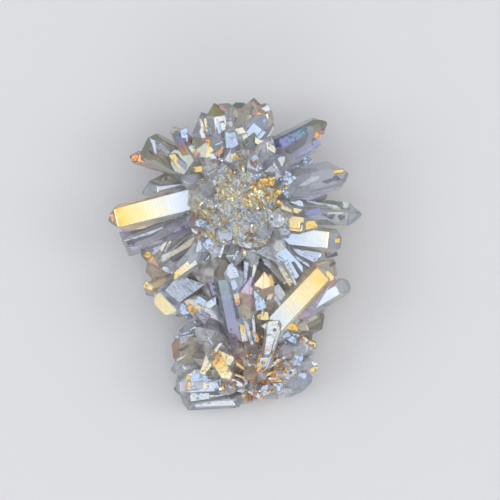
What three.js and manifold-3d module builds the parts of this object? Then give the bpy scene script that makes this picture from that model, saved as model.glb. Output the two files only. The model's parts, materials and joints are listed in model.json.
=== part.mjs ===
// A cluster of clear quartz points with a thin metal-oxide film ("aura" quartz), lying on its broken back.
//
// Every point is a true quartz form: a six-sided prism whose faces meet at 60 degrees, closed by six
// rhombohedral faces that lean 51.8 degrees from the long axis. The points spray out of two hearts,
// an upper one that carries the big fan and a lower one that carries the foot, and all of them are
// grown together with a massive white root, so the whole cluster is one solid.
//
// Millimetres, +Z up. The origin is the middle of the footprint, on the surface the cluster rests on.
// +Y runs from the foot of the cluster to the top of its fan.

import * as THREE from 'three';
import { ConvexGeometry } from 'three/addons/geometries/ConvexGeometry.js';
import { mergeVertices } from 'three/addons/utils/BufferGeometryUtils.js';
import Module from 'manifold-3d';

const wasm = await Module();
wasm.setup();

// ---------------------------------------------------------------------------------------------
// Driving dimensions
// ---------------------------------------------------------------------------------------------

const DEGREE = Math.PI / 180;
const FACE_STEP = 60 * DEGREE; // between neighbouring prism faces
const APEX_LEAN = 51.8 * DEGREE; // from the long axis to the normal of a rhombohedral face
const TAPER = 1.2 * DEGREE; // a point narrows a little towards its tip
const CORNER_TO_FLAT = Math.cos(30 * DEGREE); // of a regular hexagon

// One row for each point of the cluster, [tip, root, width, flat, roll, apex, snap]:
//   tip, root   ends of its long axis; the root is buried
//   width       across its two widest corners, at the shoulder below the apex
//   flat        thickness of the hexagon, as a share of a regular one
//   roll        degrees from straight up to the first prism face, clockwise seen from the root
//   apex        [bearing, lean, alternation, chisel]: the side whose apex face has grown most, in
//               degrees, and how many half widths the opposite face, every second face and the
//               faces at right angles to that side stand back
//   snap        [bearing, tilt, depth]: a broken end, as a plane tilted that way and that deep
const EVEN = [0, 0, 0.12, 0];
const TRIGONAL = [0, 0, 0.55, 0];

const FAN = [
  // the long points on the left, from top to bottom
  [[-22.6, 27.6, 20.5], [0, 15.8, 16], 8.4, 0.7, 12, [0, 0.1, 0.1, 1.3]],
  [[-26.6, 25.0, 13.9], [-9, 20.6, 13.4], 3.6, 1, 0, [20, 0.4, 0.3, 0]],
  [[-21.6, 19.6, 11.5], [-2, 15.6, 12], 7.0, 0.9, 22, [120, 0.7, 0.2, 0.4]],
  [[-23.5, 15.4, 14.0], [-2, 17.4, 14], 5.8, 0.8, -6, [-30, 0.6, 0.2, 0.4]],
  [[-31.8, 8.7, 19.4], [0, 16.6, 19], 7.0, 0.66, 3, [180, 0.2, 0.3, 0.25]],
  [[-29.7, 2.0, 14.6], [-1, 13.0, 15], 7.4, 0.9, 24, [20, 0.3, 0.2, 0.9], [0, 10, 0.8]],
  [[-23.2, -0.8, 13.0], [-3, 14.8, 15], 7.4, 0.8, 10, [0, 0.3, 0.2, 1.0]],
  [[-21.6, -5.6, 11.0], [-2, 11.4, 15], 7.4, 0.8, -14, [0, 0.3, 0.2, 0.9]],
  [[-22.6, -9.8, 8.6], [-2, 4, 10], 7.6, 0.9, 24, [60, 0.3, 0.3, 0.7]],
  [[-17.6, -4.6, 18.4], [-1, 12, 20], 4.8, 0.8, 26, EVEN],
  [[-15.4, -5.6, 20.4], [-0.5, 10.6, 22], 4.6, 0.8, 20, [20, 0.4, 0.3, 0.3]],
  [[-18.7, -13.4, 19.6], [-7.6, -2.4, 7.6], 7.8, 0.46, 0, [0, 0.1, 0.1, 0.9]],
  [[-17.2, -13.8, 11.0], [-2, -4, 10], 7.6, 0.9, 14, [0, 0.2, 0.2, 0.8]],
  [[-22.9, -8.8, 14.6], [-8, -3.2, 13], 3.2, 1, 12, TRIGONAL],
  // the points at the top
  [[-14.5, 31.7, 25.0], [-7, 18, 20], 5.0, 0.9, 32, [90, 0.5, 0.2, 0]],
  [[-9.5, 35.5, 18.0], [-4, 18, 17], 6.2, 0.9, 18, [-60, 0.6, 0.3, 0.3]],
  [[-5.3, 38.0, 20.6], [-2.6, 20, 18], 5.6, 0.85, 26, [0, 0.3, 0.3, 0]],
  [[-2.4, 38.1, 15.5], [-1.5, 20, 14], 5.4, 1, 5, [0, 0.2, 0.2, 0.8]],
  [[1.0, 38.4, 14.4], [0.2, 18, 14], 7.6, 0.9, 12, [30, 0.3, 0.3, 1.0]],
  [[4.6, 39.5, 16.2], [0.6, 19, 15], 6.8, 0.9, 24, [-20, 0.5, 0.3, 0.3]],
  [[8.0, 37.8, 18.4], [1, 20, 17], 5.6, 0.85, 4, [60, 0.4, 0.2, 0.5]],
  [[9.6, 35.8, 22.0], [1.2, 21, 19], 5.0, 0.8, 34, [90, 0.4, 0.3, 0.8]],
  [[8.0, 34.8, 24.6], [-1, 24, 23.6], 4.6, 0.75, 0, [0, 0.8, 0.2, 0]],
  [[11.4, 30.0, 19.0], [1.6, 20, 17], 5.0, 0.9, 20, EVEN],
  // the long points on the right, from top to bottom
  [[23.3, 32.1, 22.6], [0, 19.8, 18], 8.6, 0.85, -18, [60, 0.4, 0.2, 0.4]],
  [[19.7, 22.9, 12.4], [2, 15.6, 13], 5.6, 0.9, 2, [30, 0.4, 0.2, 0.8]],
  [[28.2, 20.9, 19.6], [1.4, 14.5, 18], 8.0, 0.75, 14, [-30, 0.35, 0.3, 0]],
  [[23.2, 15.0, 13.6], [2, 12.5, 14], 5.8, 0.9, 25, TRIGONAL],
  [[31.8, 10.3, 16.2], [1.6, 11.4, 17], 6.8, 0.9, 30, [0, 0.1, 0.15, 0]],
  [[19.6, 7.5, 22.6], [4, 9.4, 22.0], 4.2, 0.8, 0, [0, 0.9, 0.1, 0.3]],
  [[26.5, 3.3, 18.6], [1.8, 6.2, 18], 6.4, 0.72, -4, [0, 0.3, 0.1, 0.8]],
  [[23.6, -2.0, 17.0], [2.4, 8.6, 17], 5.8, 0.75, -6, [-50, 0.4, 0.2, 0.3]],
  [[25.6, -0.6, 10.6], [3, 8, 12], 6.6, 0.9, 18, [100, 0.4, 0.3, 0.4]],
  [[18.2, -6.6, 19.0], [3.0, 9.6, 22], 5.6, 0.75, 2, [-60, 0.5, 0.2, 0.2]],
  [[14.6, -7.6, 21.0], [3.6, 6.0, 22], 4.2, 0.9, 24, EVEN],
  [[19.0, -8.0, 12.0], [3.6, 6.0, 14], 7.0, 0.9, 12, TRIGONAL],
];

const DOME = [
  // shorter points round the crowded top of the upper heart, leaning outwards from it
  [[-15.6, 25.2, 24.6], [-3, 17.0, 20.5], 7.4, 0.7, -10, [0, 0.6, 0.2, 0.5]],
  [[-10.4, 29.4, 26.6], [-3.2, 17, 22], 5.6, 0.8, 16, TRIGONAL],
  [[-0.6, 32.0, 27.0], [0, 19, 21], 5.4, 0.9, 30, TRIGONAL],
  [[4.6, 30.2, 27.2], [2, 18, 21], 5.0, 0.9, 18, [0, 0.5, 0.2, 0]],
  [[9.4, 29.0, 27.4], [2.5, 17, 22], 5.4, 0.8, 24, [40, 0.5, 0.3, 0]],
  [[13.6, 24.2, 27.6], [3, 16, 22.5], 6.4, 0.8, 18, [30, 0.3, 0.3, 0.6], [30, 30, 1.2]],
  [[15.2, 18.0, 25.6], [3, 14, 20], 5.4, 0.9, 26, TRIGONAL],
  [[15.0, 11.4, 25.4], [3, 12.4, 19], 5.8, 0.9, 12, [180, 0.4, 0.2, 0]],
  [[13.8, 5.4, 25.0], [3, 10, 19], 5.4, 0.9, 20, EVEN],
  [[-13.2, 20.0, 25.8], [-2, 14.6, 20], 5.4, 0.9, 22, [90, 0.4, 0.2, 0]],
  [[-11.6, 7.0, 24.6], [-1, 10, 19], 5.6, 0.85, 16, [-40, 0.5, 0.2, 0]],
  [[-9.8, 0.6, 24.0], [-1, 9, 19], 5.4, 0.85, 22, EVEN],
  [[-5.6, -0.8, 25.4], [0, 9.4, 20], 5.0, 0.9, 14, TRIGONAL],
  [[-0.4, -3.4, 25.6], [1, 9, 20], 5.4, 0.9, 24, EVEN],
  [[9.0, -1.4, 25.6], [2.6, 9, 20], 5.2, 0.9, 20, [60, 0.4, 0.2, 0]],
  [[12.4, 1.6, 25.6], [3, 9.4, 20], 4.8, 0.9, 30, TRIGONAL],
  // a lower, steeper ring of them round the middle of the heart
  [[-7.4, 24.0, 29.6], [-2, 15, 21], 5.2, 0.9, 10, TRIGONAL],
  [[-1.0, 26.4, 30.0], [0, 16, 21], 5.2, 0.9, 24, EVEN],
  [[5.8, 24.6, 30.2], [1.6, 15.6, 21], 5.4, 0.9, 2, [60, 0.4, 0.2, 0]],
  [[-8.8, 17.4, 29.8], [-1, 13, 21], 5.4, 0.9, 26, EVEN],
  [[-3.6, 3.2, 29.4], [0.6, 10, 21], 5.6, 0.9, 4, TRIGONAL],
  [[3.4, 2.4, 29.4], [1, 10, 21], 5.8, 0.9, 20, [0, 0.5, 0.2, 0.4]],
  [[8.6, 4.4, 29.2], [2, 10, 21], 5.4, 0.9, 34, EVEN],
  [[-1.4, 9.6, 32.2], [0.4, 11.5, 18], 7.6, 0.9, 20, [200, 0.4, 0.2, 0], [0, 8, 1.6]],
  // blunt ones in the middle, broken across their ends
  [[-8.8, 11.9, 30.6], [-1, 12.6, 17], 6.0, 0.9, 8, EVEN, [0, 28, 1.5]],
  [[-2.3, 16.0, 32.4], [0.3, 13, 18], 6.4, 0.9, 24, EVEN, [10, 13, 1.6]],
  [[6.6, 15.2, 32.0], [1.6, 13, 18], 7.0, 0.9, 14, EVEN, [-10, 19, 1.7]],
  [[12.2, 8.2, 29.6], [2.4, 11.5, 17], 6.0, 0.9, 26, EVEN, [0, 36, 1.5]],
  [[3.8, 9.2, 31.4], [1, 11.5, 18], 5.6, 0.9, 4, EVEN, [0, 5, 1.4]],
];

const FOOT = [
  // the spray that rises from the lower heart over the flank of the fan
  [[-3.3, -1.4, 26.8], [2.4, -27, 12], 6.0, 0.85, -10, [-30, 0.5, 0.2, 0]],
  [[-0.7, -2.2, 27.8], [4.6, -26, 13], 5.2, 0.8, 8, [60, 0.5, 0.2, 0]],
  [[3.8, -5.2, 27.0], [4, -27, 11], 6.8, 0.9, 30, EVEN],
  [[7.2, -4.0, 29.0], [6.4, -22, 12], 6.2, 0.95, 30, [0, 0, 0.05, 0]],
  [[7.0, -13.4, 24.6], [5.6, -25, 12], 3.8, 0.95, 30, [0, 0, 0.05, 0]],
  [[10.9, -15.6, 23.0], [6.6, -27.6, 21.2], 3.0, 0.8, 0, [0, 0.2, 0.2, 0.3]],
  [[13.8, -17.0, 21.6], [5, -27, 10], 4.4, 0.9, 20, [0, 0.4, 0.2, 0]],
  [[10.8, -7.0, 22.0], [4, -26, 12], 6.4, 0.9, 16, TRIGONAL],
  [[24.9, -1.2, 22.8], [8.4, -18.8, 19.8], 7.3, 0.82, 0, [-30, 0.2, 0.3, 0.5]],
  [[28.6, -6.9, 13.6], [6, -20, 12.2], 4.7, 0.95, 0, [0, 0.3, 0.2, 0.8]],
  [[23.9, -11.0, 10.0], [2, -22, 9], 7.4, 0.9, 20, [60, 0.4, 0.3, 0.6]],
  [[22.2, -14.6, 9.0], [2, -24, 8], 7.4, 0.9, 8, [0, 0.3, 0.3, 0.8]],
  [[20.0, -18.6, 9.4], [2, -26, 8], 6.4, 0.9, 26, [0, 0.3, 0.3, 0.6]],
  [[-12.2, -11.6, 21.6], [2, -17, 13], 6.0, 0.8, 6, [0, 0.6, 0.2, 0]],
  [[-12.8, -14.8, 18.4], [2, -22, 10], 5.6, 0.9, 24, EVEN],
  [[-15.8, -23.6, 13.0], [2, -22.2, 10], 7.8, 0.9, 14, [0, 0.2, 0.2, 1.2]],
  [[-14.2, -18.0, 10.4], [2, -18, 9], 7.6, 0.9, 26, [80, 0.5, 0.3, 0.4]],
  [[-16.3, -28.8, 9.4], [0, -26, 8], 4.4, 1, 10, [0, 0.3, 0.3, 0.4]],
  [[-10.6, -25.4, 17.4], [0, -26, 9], 6.6, 0.9, 28, [0, 0.3, 0.2, 0.3]],
  [[-7.0, -22.0, 20.6], [0.4, -27, 9], 6.0, 0.9, 0, [0, 0.5, 0.2, 0]],
  [[-4.4, -25.0, 23.2], [-0.4, -30, 8], 6.2, 0.95, 28, [30, 0.2, 0.1, 0]],
  // the broad point along the bottom edge, broken across its end, and the narrow ones on its back
  [[-17.0, -34.9, 8.0], [0, -33.6, 8], 9.4, 0.85, 2, [0, 0.5, 0.3, 1.2], [-40, 20, 1.0]],
  [[-12.6, -32.8, 14.4], [1, -31.6, 12], 3.4, 0.9, 0, [0, 0.4, 0.2, 0]],
  [[-12.0, -30.4, 15.6], [0, -28.6, 10], 4.0, 0.9, 10, [0, 0.6, 0.2, 0]],
  [[-12.4, -36.6, 4.6], [4, -34, 5], 6.4, 0.8, 20, [60, 0.6, 0.3, 0.5]],
  [[-4.4, -38.9, 6.0], [2, -28, 7], 9.0, 0.9, 10, [30, 0.3, 0.3, 1.4], [0, 12, 0.6]],
  [[4.2, -38.6, 7.0], [3, -28, 7], 7.4, 0.9, 24, [-60, 0.4, 0.3, 0.8], [60, 20, 1.0]],
  [[10.6, -36.4, 7.4], [3, -28, 7], 6.4, 0.9, 6, [40, 0.4, 0.3, 0.6]],
  // the short points on the right of the foot
  [[20.4, -22.2, 12.6], [3, -26.6, 9], 5.6, 0.9, 16, [-50, 0.3, 0.2, 0.4]],
  [[20.5, -28.2, 11.6], [3, -28, 9], 5.6, 0.9, -16, [60, 0.3, 0.2, 0.4]],
  [[19.3, -31.7, 8.6], [3, -29, 8], 6.4, 0.9, 12, [0, 0.4, 0.2, 0.6]],
  [[16.9, -34.4, 6.4], [3, -30, 7], 5.6, 0.9, 26, EVEN],
  [[14.6, -22.8, 19.4], [3, -27, 9], 5.2, 0.9, 20, TRIGONAL],
  [[14.6, -28.8, 17.4], [3, -28.4, 9], 5.4, 0.9, 8, [0, 0.5, 0.2, 0]],
  [[11.0, -33.0, 15.0], [3, -29, 8], 5.0, 0.9, 22, EVEN],
  [[-2.0, -33.6, 17.2], [2, -29, 8], 4.8, 0.9, 26, EVEN],
  [[4.0, -29.6, 20.0], [3, -28.6, 8], 4.2, 0.9, 20, EVEN],
];

// The low points that stick out all round under the ones above, where the cluster sits down. One
// row for each ring of them, [heart, count, bearings, reach, low, width]: where they meet, how many,
// the first and last bearing in degrees from +X, their reach along X and Y, and their tips' height.
const SKIRTS = [
  [[0.7, 14, 11], 9, [-22, 202], [18.5, 17.5], 6.4, 6.4],
  [[1.2, 14, 7], 7, [-12, 190], [15.5, 14.5], 3.6, 5.4],
  [[2, -15, 8], 2, [-12, 10], [15, 9], 5.2, 6.4],
  [[2, -7, 8], 2, [-8, 12], [16, 10], 5.8, 6.4],
  [[1, -15, 8], 2, [172, 190], [13.5, 9], 5.2, 6.4],
  [[1, -7, 8], 2, [168, 188], [15, 10], 5.8, 6.4],
  [[2.5, -28, 6], 7, [-170, 12], [12.5, 7.5], 3.8, 5.0],
];

// The massive root: three lumps of white quartz, each the hull of a stack of uneven rings. One row
// for each ring, [height, middle x, middle y, half width, half length, corners]. The lowest ring of
// each lies in the broken face that the cluster rests on.
const ROOT_MASSES = [
  [ // under the fan
    [0, 0.6, 12.6, 11.8, 12.6, 9],
    [7, 0.6, 12.8, 13.8, 14.4, 10],
    [19, 0.8, 12.8, 12.4, 13, 9],
    [26, 0.9, 12.6, 8.4, 9.2, 8],
    [29, 1.2, 12.4, 4.4, 5, 6],
  ],
  [ // under the foot
    [0, 1.2, -21.6, 10.4, 12.4, 8],
    [6, 2.2, -23.4, 11.6, 12.4, 9],
    [12, 2.4, -24, 8.8, 9.6, 8],
    [17.5, 2.6, -25, 4.8, 5.2, 6],
  ],
  [ // the bridge between them
    [0, 0.7, -4.6, 11.2, 15, 9],
    [8, 1, -6, 11.6, 14, 8],
    [17.5, 1.4, -7, 7.2, 13, 7],
    [21, 1.6, -6, 3.6, 10, 6],
  ],
];
const RING_UNEVENNESS = 0.09;

// ---------------------------------------------------------------------------------------------
// Solids
// ---------------------------------------------------------------------------------------------

// A solid of the joining library, from a closed three.js geometry.
function solidOf(geometry) {
  geometry.deleteAttribute('normal');
  geometry.deleteAttribute('uv');
  const merged = mergeVertices(geometry);
  const vertProperties = new Float32Array(merged.attributes.position.array);
  const triVerts = new Uint32Array(merged.index.array);
  return new wasm.Manifold(new wasm.Mesh({ numProp: 3, vertProperties, triVerts }));
}

// The corners of the convex body that lies behind every plane, where a plane is a unit normal and
// its distance from the origin: each corner is where three planes meet, on or behind all others.
function cornersOf(planes) {
  const touch = 1e-6;
  const apart = 2e-3;
  const corners = [];
  const count = planes.length;
  for (let i = 0; i < count; i += 1) {
    for (let j = i + 1; j < count; j += 1) {
      for (let k = j + 1; k < count; k += 1) {
        const [a, b, c] = [planes[i], planes[j], planes[k]];
        const bc = b.normal.clone().cross(c.normal);
        const volume = a.normal.dot(bc);
        if (Math.abs(volume) < 1e-9) continue;
        const corner = bc.multiplyScalar(a.distance)
          .addScaledVector(c.normal.clone().cross(a.normal), b.distance)
          .addScaledVector(a.normal.clone().cross(b.normal), c.distance)
          .divideScalar(volume);
        const inside = planes.every((p) => p.normal.dot(corner) <= p.distance + touch);
        const fresh = corners.every((other) => other.distanceTo(corner) > apart);
        if (inside && fresh) corners.push(corner);
      }
    }
  }
  return corners;
}

// The planes of one point of quartz, of a given length along its axis.
function planesOf(point, length) {
  const [tip, buried, width, flat, roll, [grown, lean, alternation, chisel], snap] = point;
  const root = new THREE.Vector3(...buried);
  const axis = new THREE.Vector3(...tip).sub(root).normalize();
  const up = new THREE.Vector3(0, 0, 1).addScaledVector(axis, -axis.z).normalize();
  const side = axis.clone().cross(up);
  const reach = (width / 2) * CORNER_TO_FLAT; // from the axis to a prism face
  const shoulder = length - reach / Math.tan(Math.PI / 2 - APEX_LEAN);
  const around = (bearing) => up.clone().multiplyScalar(Math.cos(bearing))
    .addScaledVector(side, Math.sin(bearing));
  const plane = (bearing, fall, outward, along) => {
    const normal = around(bearing).multiplyScalar(Math.sin(fall)).addScaledVector(axis, Math.cos(fall));
    const on = root.clone().addScaledVector(axis, along).addScaledVector(around(bearing), outward);
    return { normal, distance: normal.dot(on) };
  };
  const planes = [plane(0, Math.PI, 0, 0)];
  for (let i = 0; i < 6; i += 1) {
    const bearing = roll * DEGREE + i * FACE_STEP;
    const outward = i % 3 === 0 ? reach * flat : reach;
    const off = bearing - grown * DEGREE;
    const behind = lean * (1 - Math.cos(off)) + (i % 2) * alternation + chisel * Math.sin(off) ** 2;
    planes.push(plane(bearing, Math.PI / 2 - TAPER, outward, shoulder));
    planes.push(plane(bearing, APEX_LEAN, 0, length + behind * reach));
  }
  if (snap) {
    const [bearing, tilt, depth] = snap;
    planes.push(plane(bearing * DEGREE, tilt * DEGREE, 0, length - depth));
  }
  return { planes, axis, root };
}

// One point of quartz. A leaning apex overshoots the length its faces are set to, so the length is
// set again by the overshoot, which brings the highest corner level with the tip.
function quartzPoint(point) {
  const [tip, buried] = point;
  const wanted = new THREE.Vector3(...tip).distanceTo(new THREE.Vector3(...buried));
  const { planes, axis, root } = planesOf(point.slice(0, 6), wanted);
  const reached = Math.max(...cornersOf(planes).map((corner) => corner.sub(root).dot(axis)));
  return solidOf(new ConvexGeometry(cornersOf(planesOf(point, 2 * wanted - reached).planes)));
}

// A small uneven share between -1 and 1 that differs from one number to the next.
const uneven = (n) => Math.sin(n * 12.9898) * Math.cos(n * 4.1414);

// One lump of the massive root: the hull of its uneven rings.
function rootMass(rings, seed) {
  const points = rings.flatMap(([z, x, y, halfX, halfY, corners], level) => (
    Array.from({ length: corners }, (_, i) => {
      const bearing = ((i + 0.37 * level) / corners) * 2 * Math.PI;
      const swell = 1 + RING_UNEVENNESS * uneven(seed + 7 * level + i);
      const [cosine, sine] = [Math.cos(bearing), Math.sin(bearing)];
      return new THREE.Vector3(x + halfX * swell * cosine, y + halfY * swell * sine, z);
    })
  ));
  return solidOf(new ConvexGeometry(points));
}

// The low points of one ring, with their lengths, widths and droop all slightly different.
function skirtPoints([heart, count, [from, to], reach, low, width], ring) {
  return Array.from({ length: count }, (_, i) => {
    const n = 31 * ring + i;
    const bearing = (from + ((to - from) * (i + 0.3 * uneven(n))) / (count - 1)) * DEGREE;
    const length = 1 + 0.1 * uneven(n + 0.5);
    const tip = [
      heart[0] + reach[0] * length * Math.cos(bearing),
      heart[1] + reach[1] * length * Math.sin(bearing),
      low + 1.2 * uneven(n + 0.7),
    ];
    const broad = width * (1 + 0.2 * uneven(n + 0.9));
    return [tip, heart, broad, 0.9, 30 * uneven(n + 1.1), [90 * uneven(n + 1.3), 0.5, 0.3, 0]];
  });
}

// ---------------------------------------------------------------------------------------------
// The cluster
// ---------------------------------------------------------------------------------------------

const points = [...FAN, ...DOME, ...FOOT, ...SKIRTS.flatMap(skirtPoints)];
const pieces = [...points.map(quartzPoint), ...ROOT_MASSES.map(rootMass)];
const grown = pieces.reduce((all, one) => all.add(one));

// Pockets closed in between the roots are solid quartz, so only the outer skin is kept.
const skin = grown.decompose().sort((a, b) => b.volume() - a.volume())[0].getMesh();
const geometry = new THREE.BufferGeometry();
geometry.setAttribute('position', new THREE.BufferAttribute(skin.vertProperties, 3));
geometry.setIndex(new THREE.BufferAttribute(skin.triVerts, 1));
geometry.computeVertexNormals();

const quartz = new THREE.MeshStandardMaterial({ color: 0xdfe3ea, roughness: 0.08, metalness: 0 });
const cluster = new THREE.Mesh(geometry, quartz);
cluster.name = 'quartz_cluster';

const part = new THREE.Group();
part.add(cluster);

export default part;
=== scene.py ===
# %% [markdown]
# # A film-coated quartz cluster
# The real object is one piece of stone: long clear quartz points that spray out of a milky root, with
# a metal-oxide film, far thinner than a hair, that gives the faces their blue, cream, gold and violet
# sheen. The solid model is loaded first, as a fixed frame. It keeps the place and size of everything
# that is made here.

import json
import math
from itertools import combinations

import bmesh
import bpy
import numpy as np
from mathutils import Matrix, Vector
from mathutils.bvhtree import BVHTree

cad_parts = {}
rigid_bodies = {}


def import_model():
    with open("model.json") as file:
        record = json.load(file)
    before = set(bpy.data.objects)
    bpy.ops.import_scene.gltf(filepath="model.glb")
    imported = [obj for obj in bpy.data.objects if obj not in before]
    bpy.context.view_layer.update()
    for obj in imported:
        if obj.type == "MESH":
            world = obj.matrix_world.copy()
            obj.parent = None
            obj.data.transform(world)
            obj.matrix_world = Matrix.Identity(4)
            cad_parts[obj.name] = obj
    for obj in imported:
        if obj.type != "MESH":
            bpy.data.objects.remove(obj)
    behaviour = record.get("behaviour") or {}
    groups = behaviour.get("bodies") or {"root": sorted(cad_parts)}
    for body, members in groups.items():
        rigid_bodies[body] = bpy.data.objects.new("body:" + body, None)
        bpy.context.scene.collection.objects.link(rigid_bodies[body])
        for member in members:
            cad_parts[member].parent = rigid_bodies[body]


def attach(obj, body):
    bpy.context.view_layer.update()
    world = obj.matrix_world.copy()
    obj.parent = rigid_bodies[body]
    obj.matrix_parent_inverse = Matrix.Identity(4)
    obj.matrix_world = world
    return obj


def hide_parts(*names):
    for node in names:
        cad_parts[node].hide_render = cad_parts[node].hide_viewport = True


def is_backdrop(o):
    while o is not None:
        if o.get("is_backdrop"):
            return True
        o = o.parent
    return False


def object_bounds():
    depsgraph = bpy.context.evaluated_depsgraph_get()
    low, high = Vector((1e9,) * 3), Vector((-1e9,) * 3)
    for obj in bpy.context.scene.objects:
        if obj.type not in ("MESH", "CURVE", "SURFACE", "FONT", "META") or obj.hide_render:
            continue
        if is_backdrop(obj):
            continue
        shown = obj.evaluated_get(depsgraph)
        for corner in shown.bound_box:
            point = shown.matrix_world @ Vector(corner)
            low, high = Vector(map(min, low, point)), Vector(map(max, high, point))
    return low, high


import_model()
cad_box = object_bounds()
MM = 0.001  # metres. Most sizes below are in millimetres, and the scene is in metres
print("CAD box, mm:", [[round(v / MM, 1) for v in corner] for corner in cad_box])

# %% [markdown]
# ## Camera, floor and light
# A thing that lies on a table is looked at from straight above, so the camera stands a metre up and
# looks down, through a long lens that keeps the perspective weak. Quartz is mostly mirror and window:
# what it shows is the room. A large soft light hangs over the camera, so every face that lies nearly
# level turns bright, and three more stand round the sides. The room between them is dim, which keeps
# the other faces deep.

# %% Camera
VIEW_CENTRE = (3.675, 1.35, 17.0)  # mm, what the middle of the picture looks at
VIEW_WIDTH = 125.0  # mm across the picture at that height
CAMERA_RISE = 1000.0  # mm
SENSOR = 36.0  # mm


def placed(name, data):
    """A new object in the scene that shows this data."""
    thing = bpy.data.objects.new(name, data)
    bpy.context.scene.collection.objects.link(thing)
    return thing


camera = placed("camera", bpy.data.cameras.new("camera"))
camera.location = Vector(VIEW_CENTRE) * MM + Vector((0, 0, CAMERA_RISE * MM))
camera.data.sensor_width = SENSOR
camera.data.lens = SENSOR * CAMERA_RISE / VIEW_WIDTH
camera.data.clip_start, camera.data.clip_end = 0.01, 20.0
bpy.context.scene.camera = camera
print("lens:", round(camera.data.lens), "mm")


# %% Soft lights
def softbox(name, azimuth, elevation, distance, size, radiance, colour):
    """A square area light on a sphere round the cluster, turned to face it. Its power in watts is
    radiance x pi x area, for a light that shines on one side."""
    a, e = math.radians(azimuth), math.radians(elevation)
    away = Vector((math.cos(e) * math.cos(a), math.cos(e) * math.sin(a), math.sin(e)))
    data = bpy.data.lights.new(name, "AREA")
    data.shape, data.size, data.color = "SQUARE", size, colour
    data.energy = radiance * math.pi * size**2
    light = placed(name, data)
    light.location = Vector(VIEW_CENTRE) * MM + away * distance
    light.rotation_euler = away.to_track_quat("Z", "Y").to_euler()


# azimuth and elevation in degrees, distance and size in metres, radiance, colour
softbox("overhead", 90, 89, 1.8, 1.25, 1.12, (1.0, 0.99, 0.97))
softbox("window_left", 178, 44, 1.6, 0.8, 2.6, (0.93, 0.96, 1.0))
softbox("window_right", 2, 44, 1.6, 0.8, 2.6, (1.0, 0.97, 0.93))
softbox("window_front", 275, 35, 1.7, 0.9, 1.3, (0.97, 0.98, 1.0))

world = bpy.data.worlds.new("studio")
world.use_nodes = True
room = world.node_tree.nodes["Background"]
room.inputs["Color"].default_value = (0.93, 0.95, 1.0, 1)
room.inputs["Strength"].default_value = 0.58
bpy.context.scene.world = world
bpy.context.scene.view_settings.view_transform = "Standard"

# %% [markdown]
# ## Shader maths
# A material is a web of nodes. Written as Python expressions it stays readable, so one small class
# wraps a socket and turns + - * / into Math nodes. Any other node comes from one method.


# %% A socket that does arithmetic
def fill(node, **values):
    """Sets a node's inputs from numbers, colours and wrapped sockets. Underscores in a name stand
    for spaces, and _0 is the first input."""
    for key, value in values.items():
        name = key.strip("_").replace("_", " ")
        socket = node.inputs[int(name) if name.isdigit() else name]
        if isinstance(value, Sock):
            value.tree.links.new(value.socket, socket)
        else:
            socket.default_value = value


class Sock:
    """Wraps an output socket. Arithmetic with numbers and other wrapped sockets adds Math nodes."""

    def __init__(self, tree, socket):
        self.tree, self.socket = tree, socket

    def node(self, kind, settings=None, out=0, **values):
        """Adds a node of a type, sets its settings, fills its inputs and wraps one output."""
        made = self.tree.nodes.new(kind)
        for key, value in (settings or {}).items():
            setattr(made, key, value)
        fill(made, **values)
        return Sock(self.tree, made.outputs[out])

    def maths(self, operation, other=0.0):
        return self.node("ShaderNodeMath", {"operation": operation}, _0=self, _1=other)

    def __add__(self, other):
        return self.maths("ADD", other)

    def __sub__(self, other):
        return self.maths("SUBTRACT", other)

    def __rsub__(self, other):
        return self.node("ShaderNodeMath", {"operation": "SUBTRACT"}, _0=other, _1=self)

    def __mul__(self, other):
        return self.maths("MULTIPLY", other)

    def __truediv__(self, other):
        return self.maths("DIVIDE", other)

    def clamp(self, low=0.0, high=1.0):
        return self.maths("MAXIMUM", low).maths("MINIMUM", high)

    def step(self, start, end):
        """0 below start, 1 above end, and a smooth rise between."""
        return self.node("ShaderNodeMapRange", {"interpolation_type": "SMOOTHSTEP"},
                         Value=self, From_Min=start, From_Max=end)

    def mix(self, first, second):
        """A colour: first where this is 0, second where it is 1."""
        return self.node("ShaderNodeMix", {"data_type": "RGBA"}, out=2, Factor=self, _6=first, _7=second)

    def ramp(self, stops):
        """A colour: stops are pairs of a position and the colour there, and this is the position."""
        made = self.tree.nodes.new("ShaderNodeValToRGB")
        elements = made.color_ramp.elements
        while len(elements) < len(stops):
            elements.new(1.0)
        for element, (position, colour) in zip(elements, stops):
            element.position, element.color = position, colour
        fill(made, Fac=self)
        return Sock(self.tree, made.outputs[0])

    def parts(self):
        """The three numbers of a vector."""
        return [self.node("ShaderNodeSeparateXYZ", out=k, Vector=self) for k in range(3)]

    def cloud(self, size, detail=2.0):
        """Noise over a place in metres, with features about as large as size, in millimetres."""
        return self.node("ShaderNodeTexNoise", Vector=self, Scale=1 / (size * MM), Detail=detail)

    def carried(self, name):
        """A named vector that the corners of the mesh carry."""
        return self.node("ShaderNodeAttribute", {"attribute_name": name}, out=1)


print("a wrapped socket can:", [name for name in vars(Sock) if not name.startswith("_")])

# %% [markdown]
# A new material starts with one Principled shader, whose inputs are filled later. Its colours are
# given as a screen shows them, and a shader needs them as amounts of light. The floor is the first
# to have one: pale, so that it lights the stone from below, and dull, so that it mirrors nothing.


# %% Materials and colours
def new_material(name):
    """A material, its Principled shader, and the place on the object as a wrapped socket."""
    material = bpy.data.materials.new(name)
    material.use_nodes = True
    tree = material.node_tree
    place = tree.nodes.new("ShaderNodeTexCoord")
    return material, tree.nodes["Principled BSDF"], Sock(tree, place.outputs["Object"])


def srgb(r, g, b):
    """A colour as seen on a screen, 0 to 255, as the linear light that shaders work in, with 1 for
    its opacity."""
    c = np.array((r, g, b)) / 255
    return (*np.where(c <= 0.04045, c / 12.92, ((c + 0.055) / 1.055) ** 2.4), 1.0)


print("half of full screen white is this share of its light:", round(srgb(128, 128, 128)[0], 2))

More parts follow.
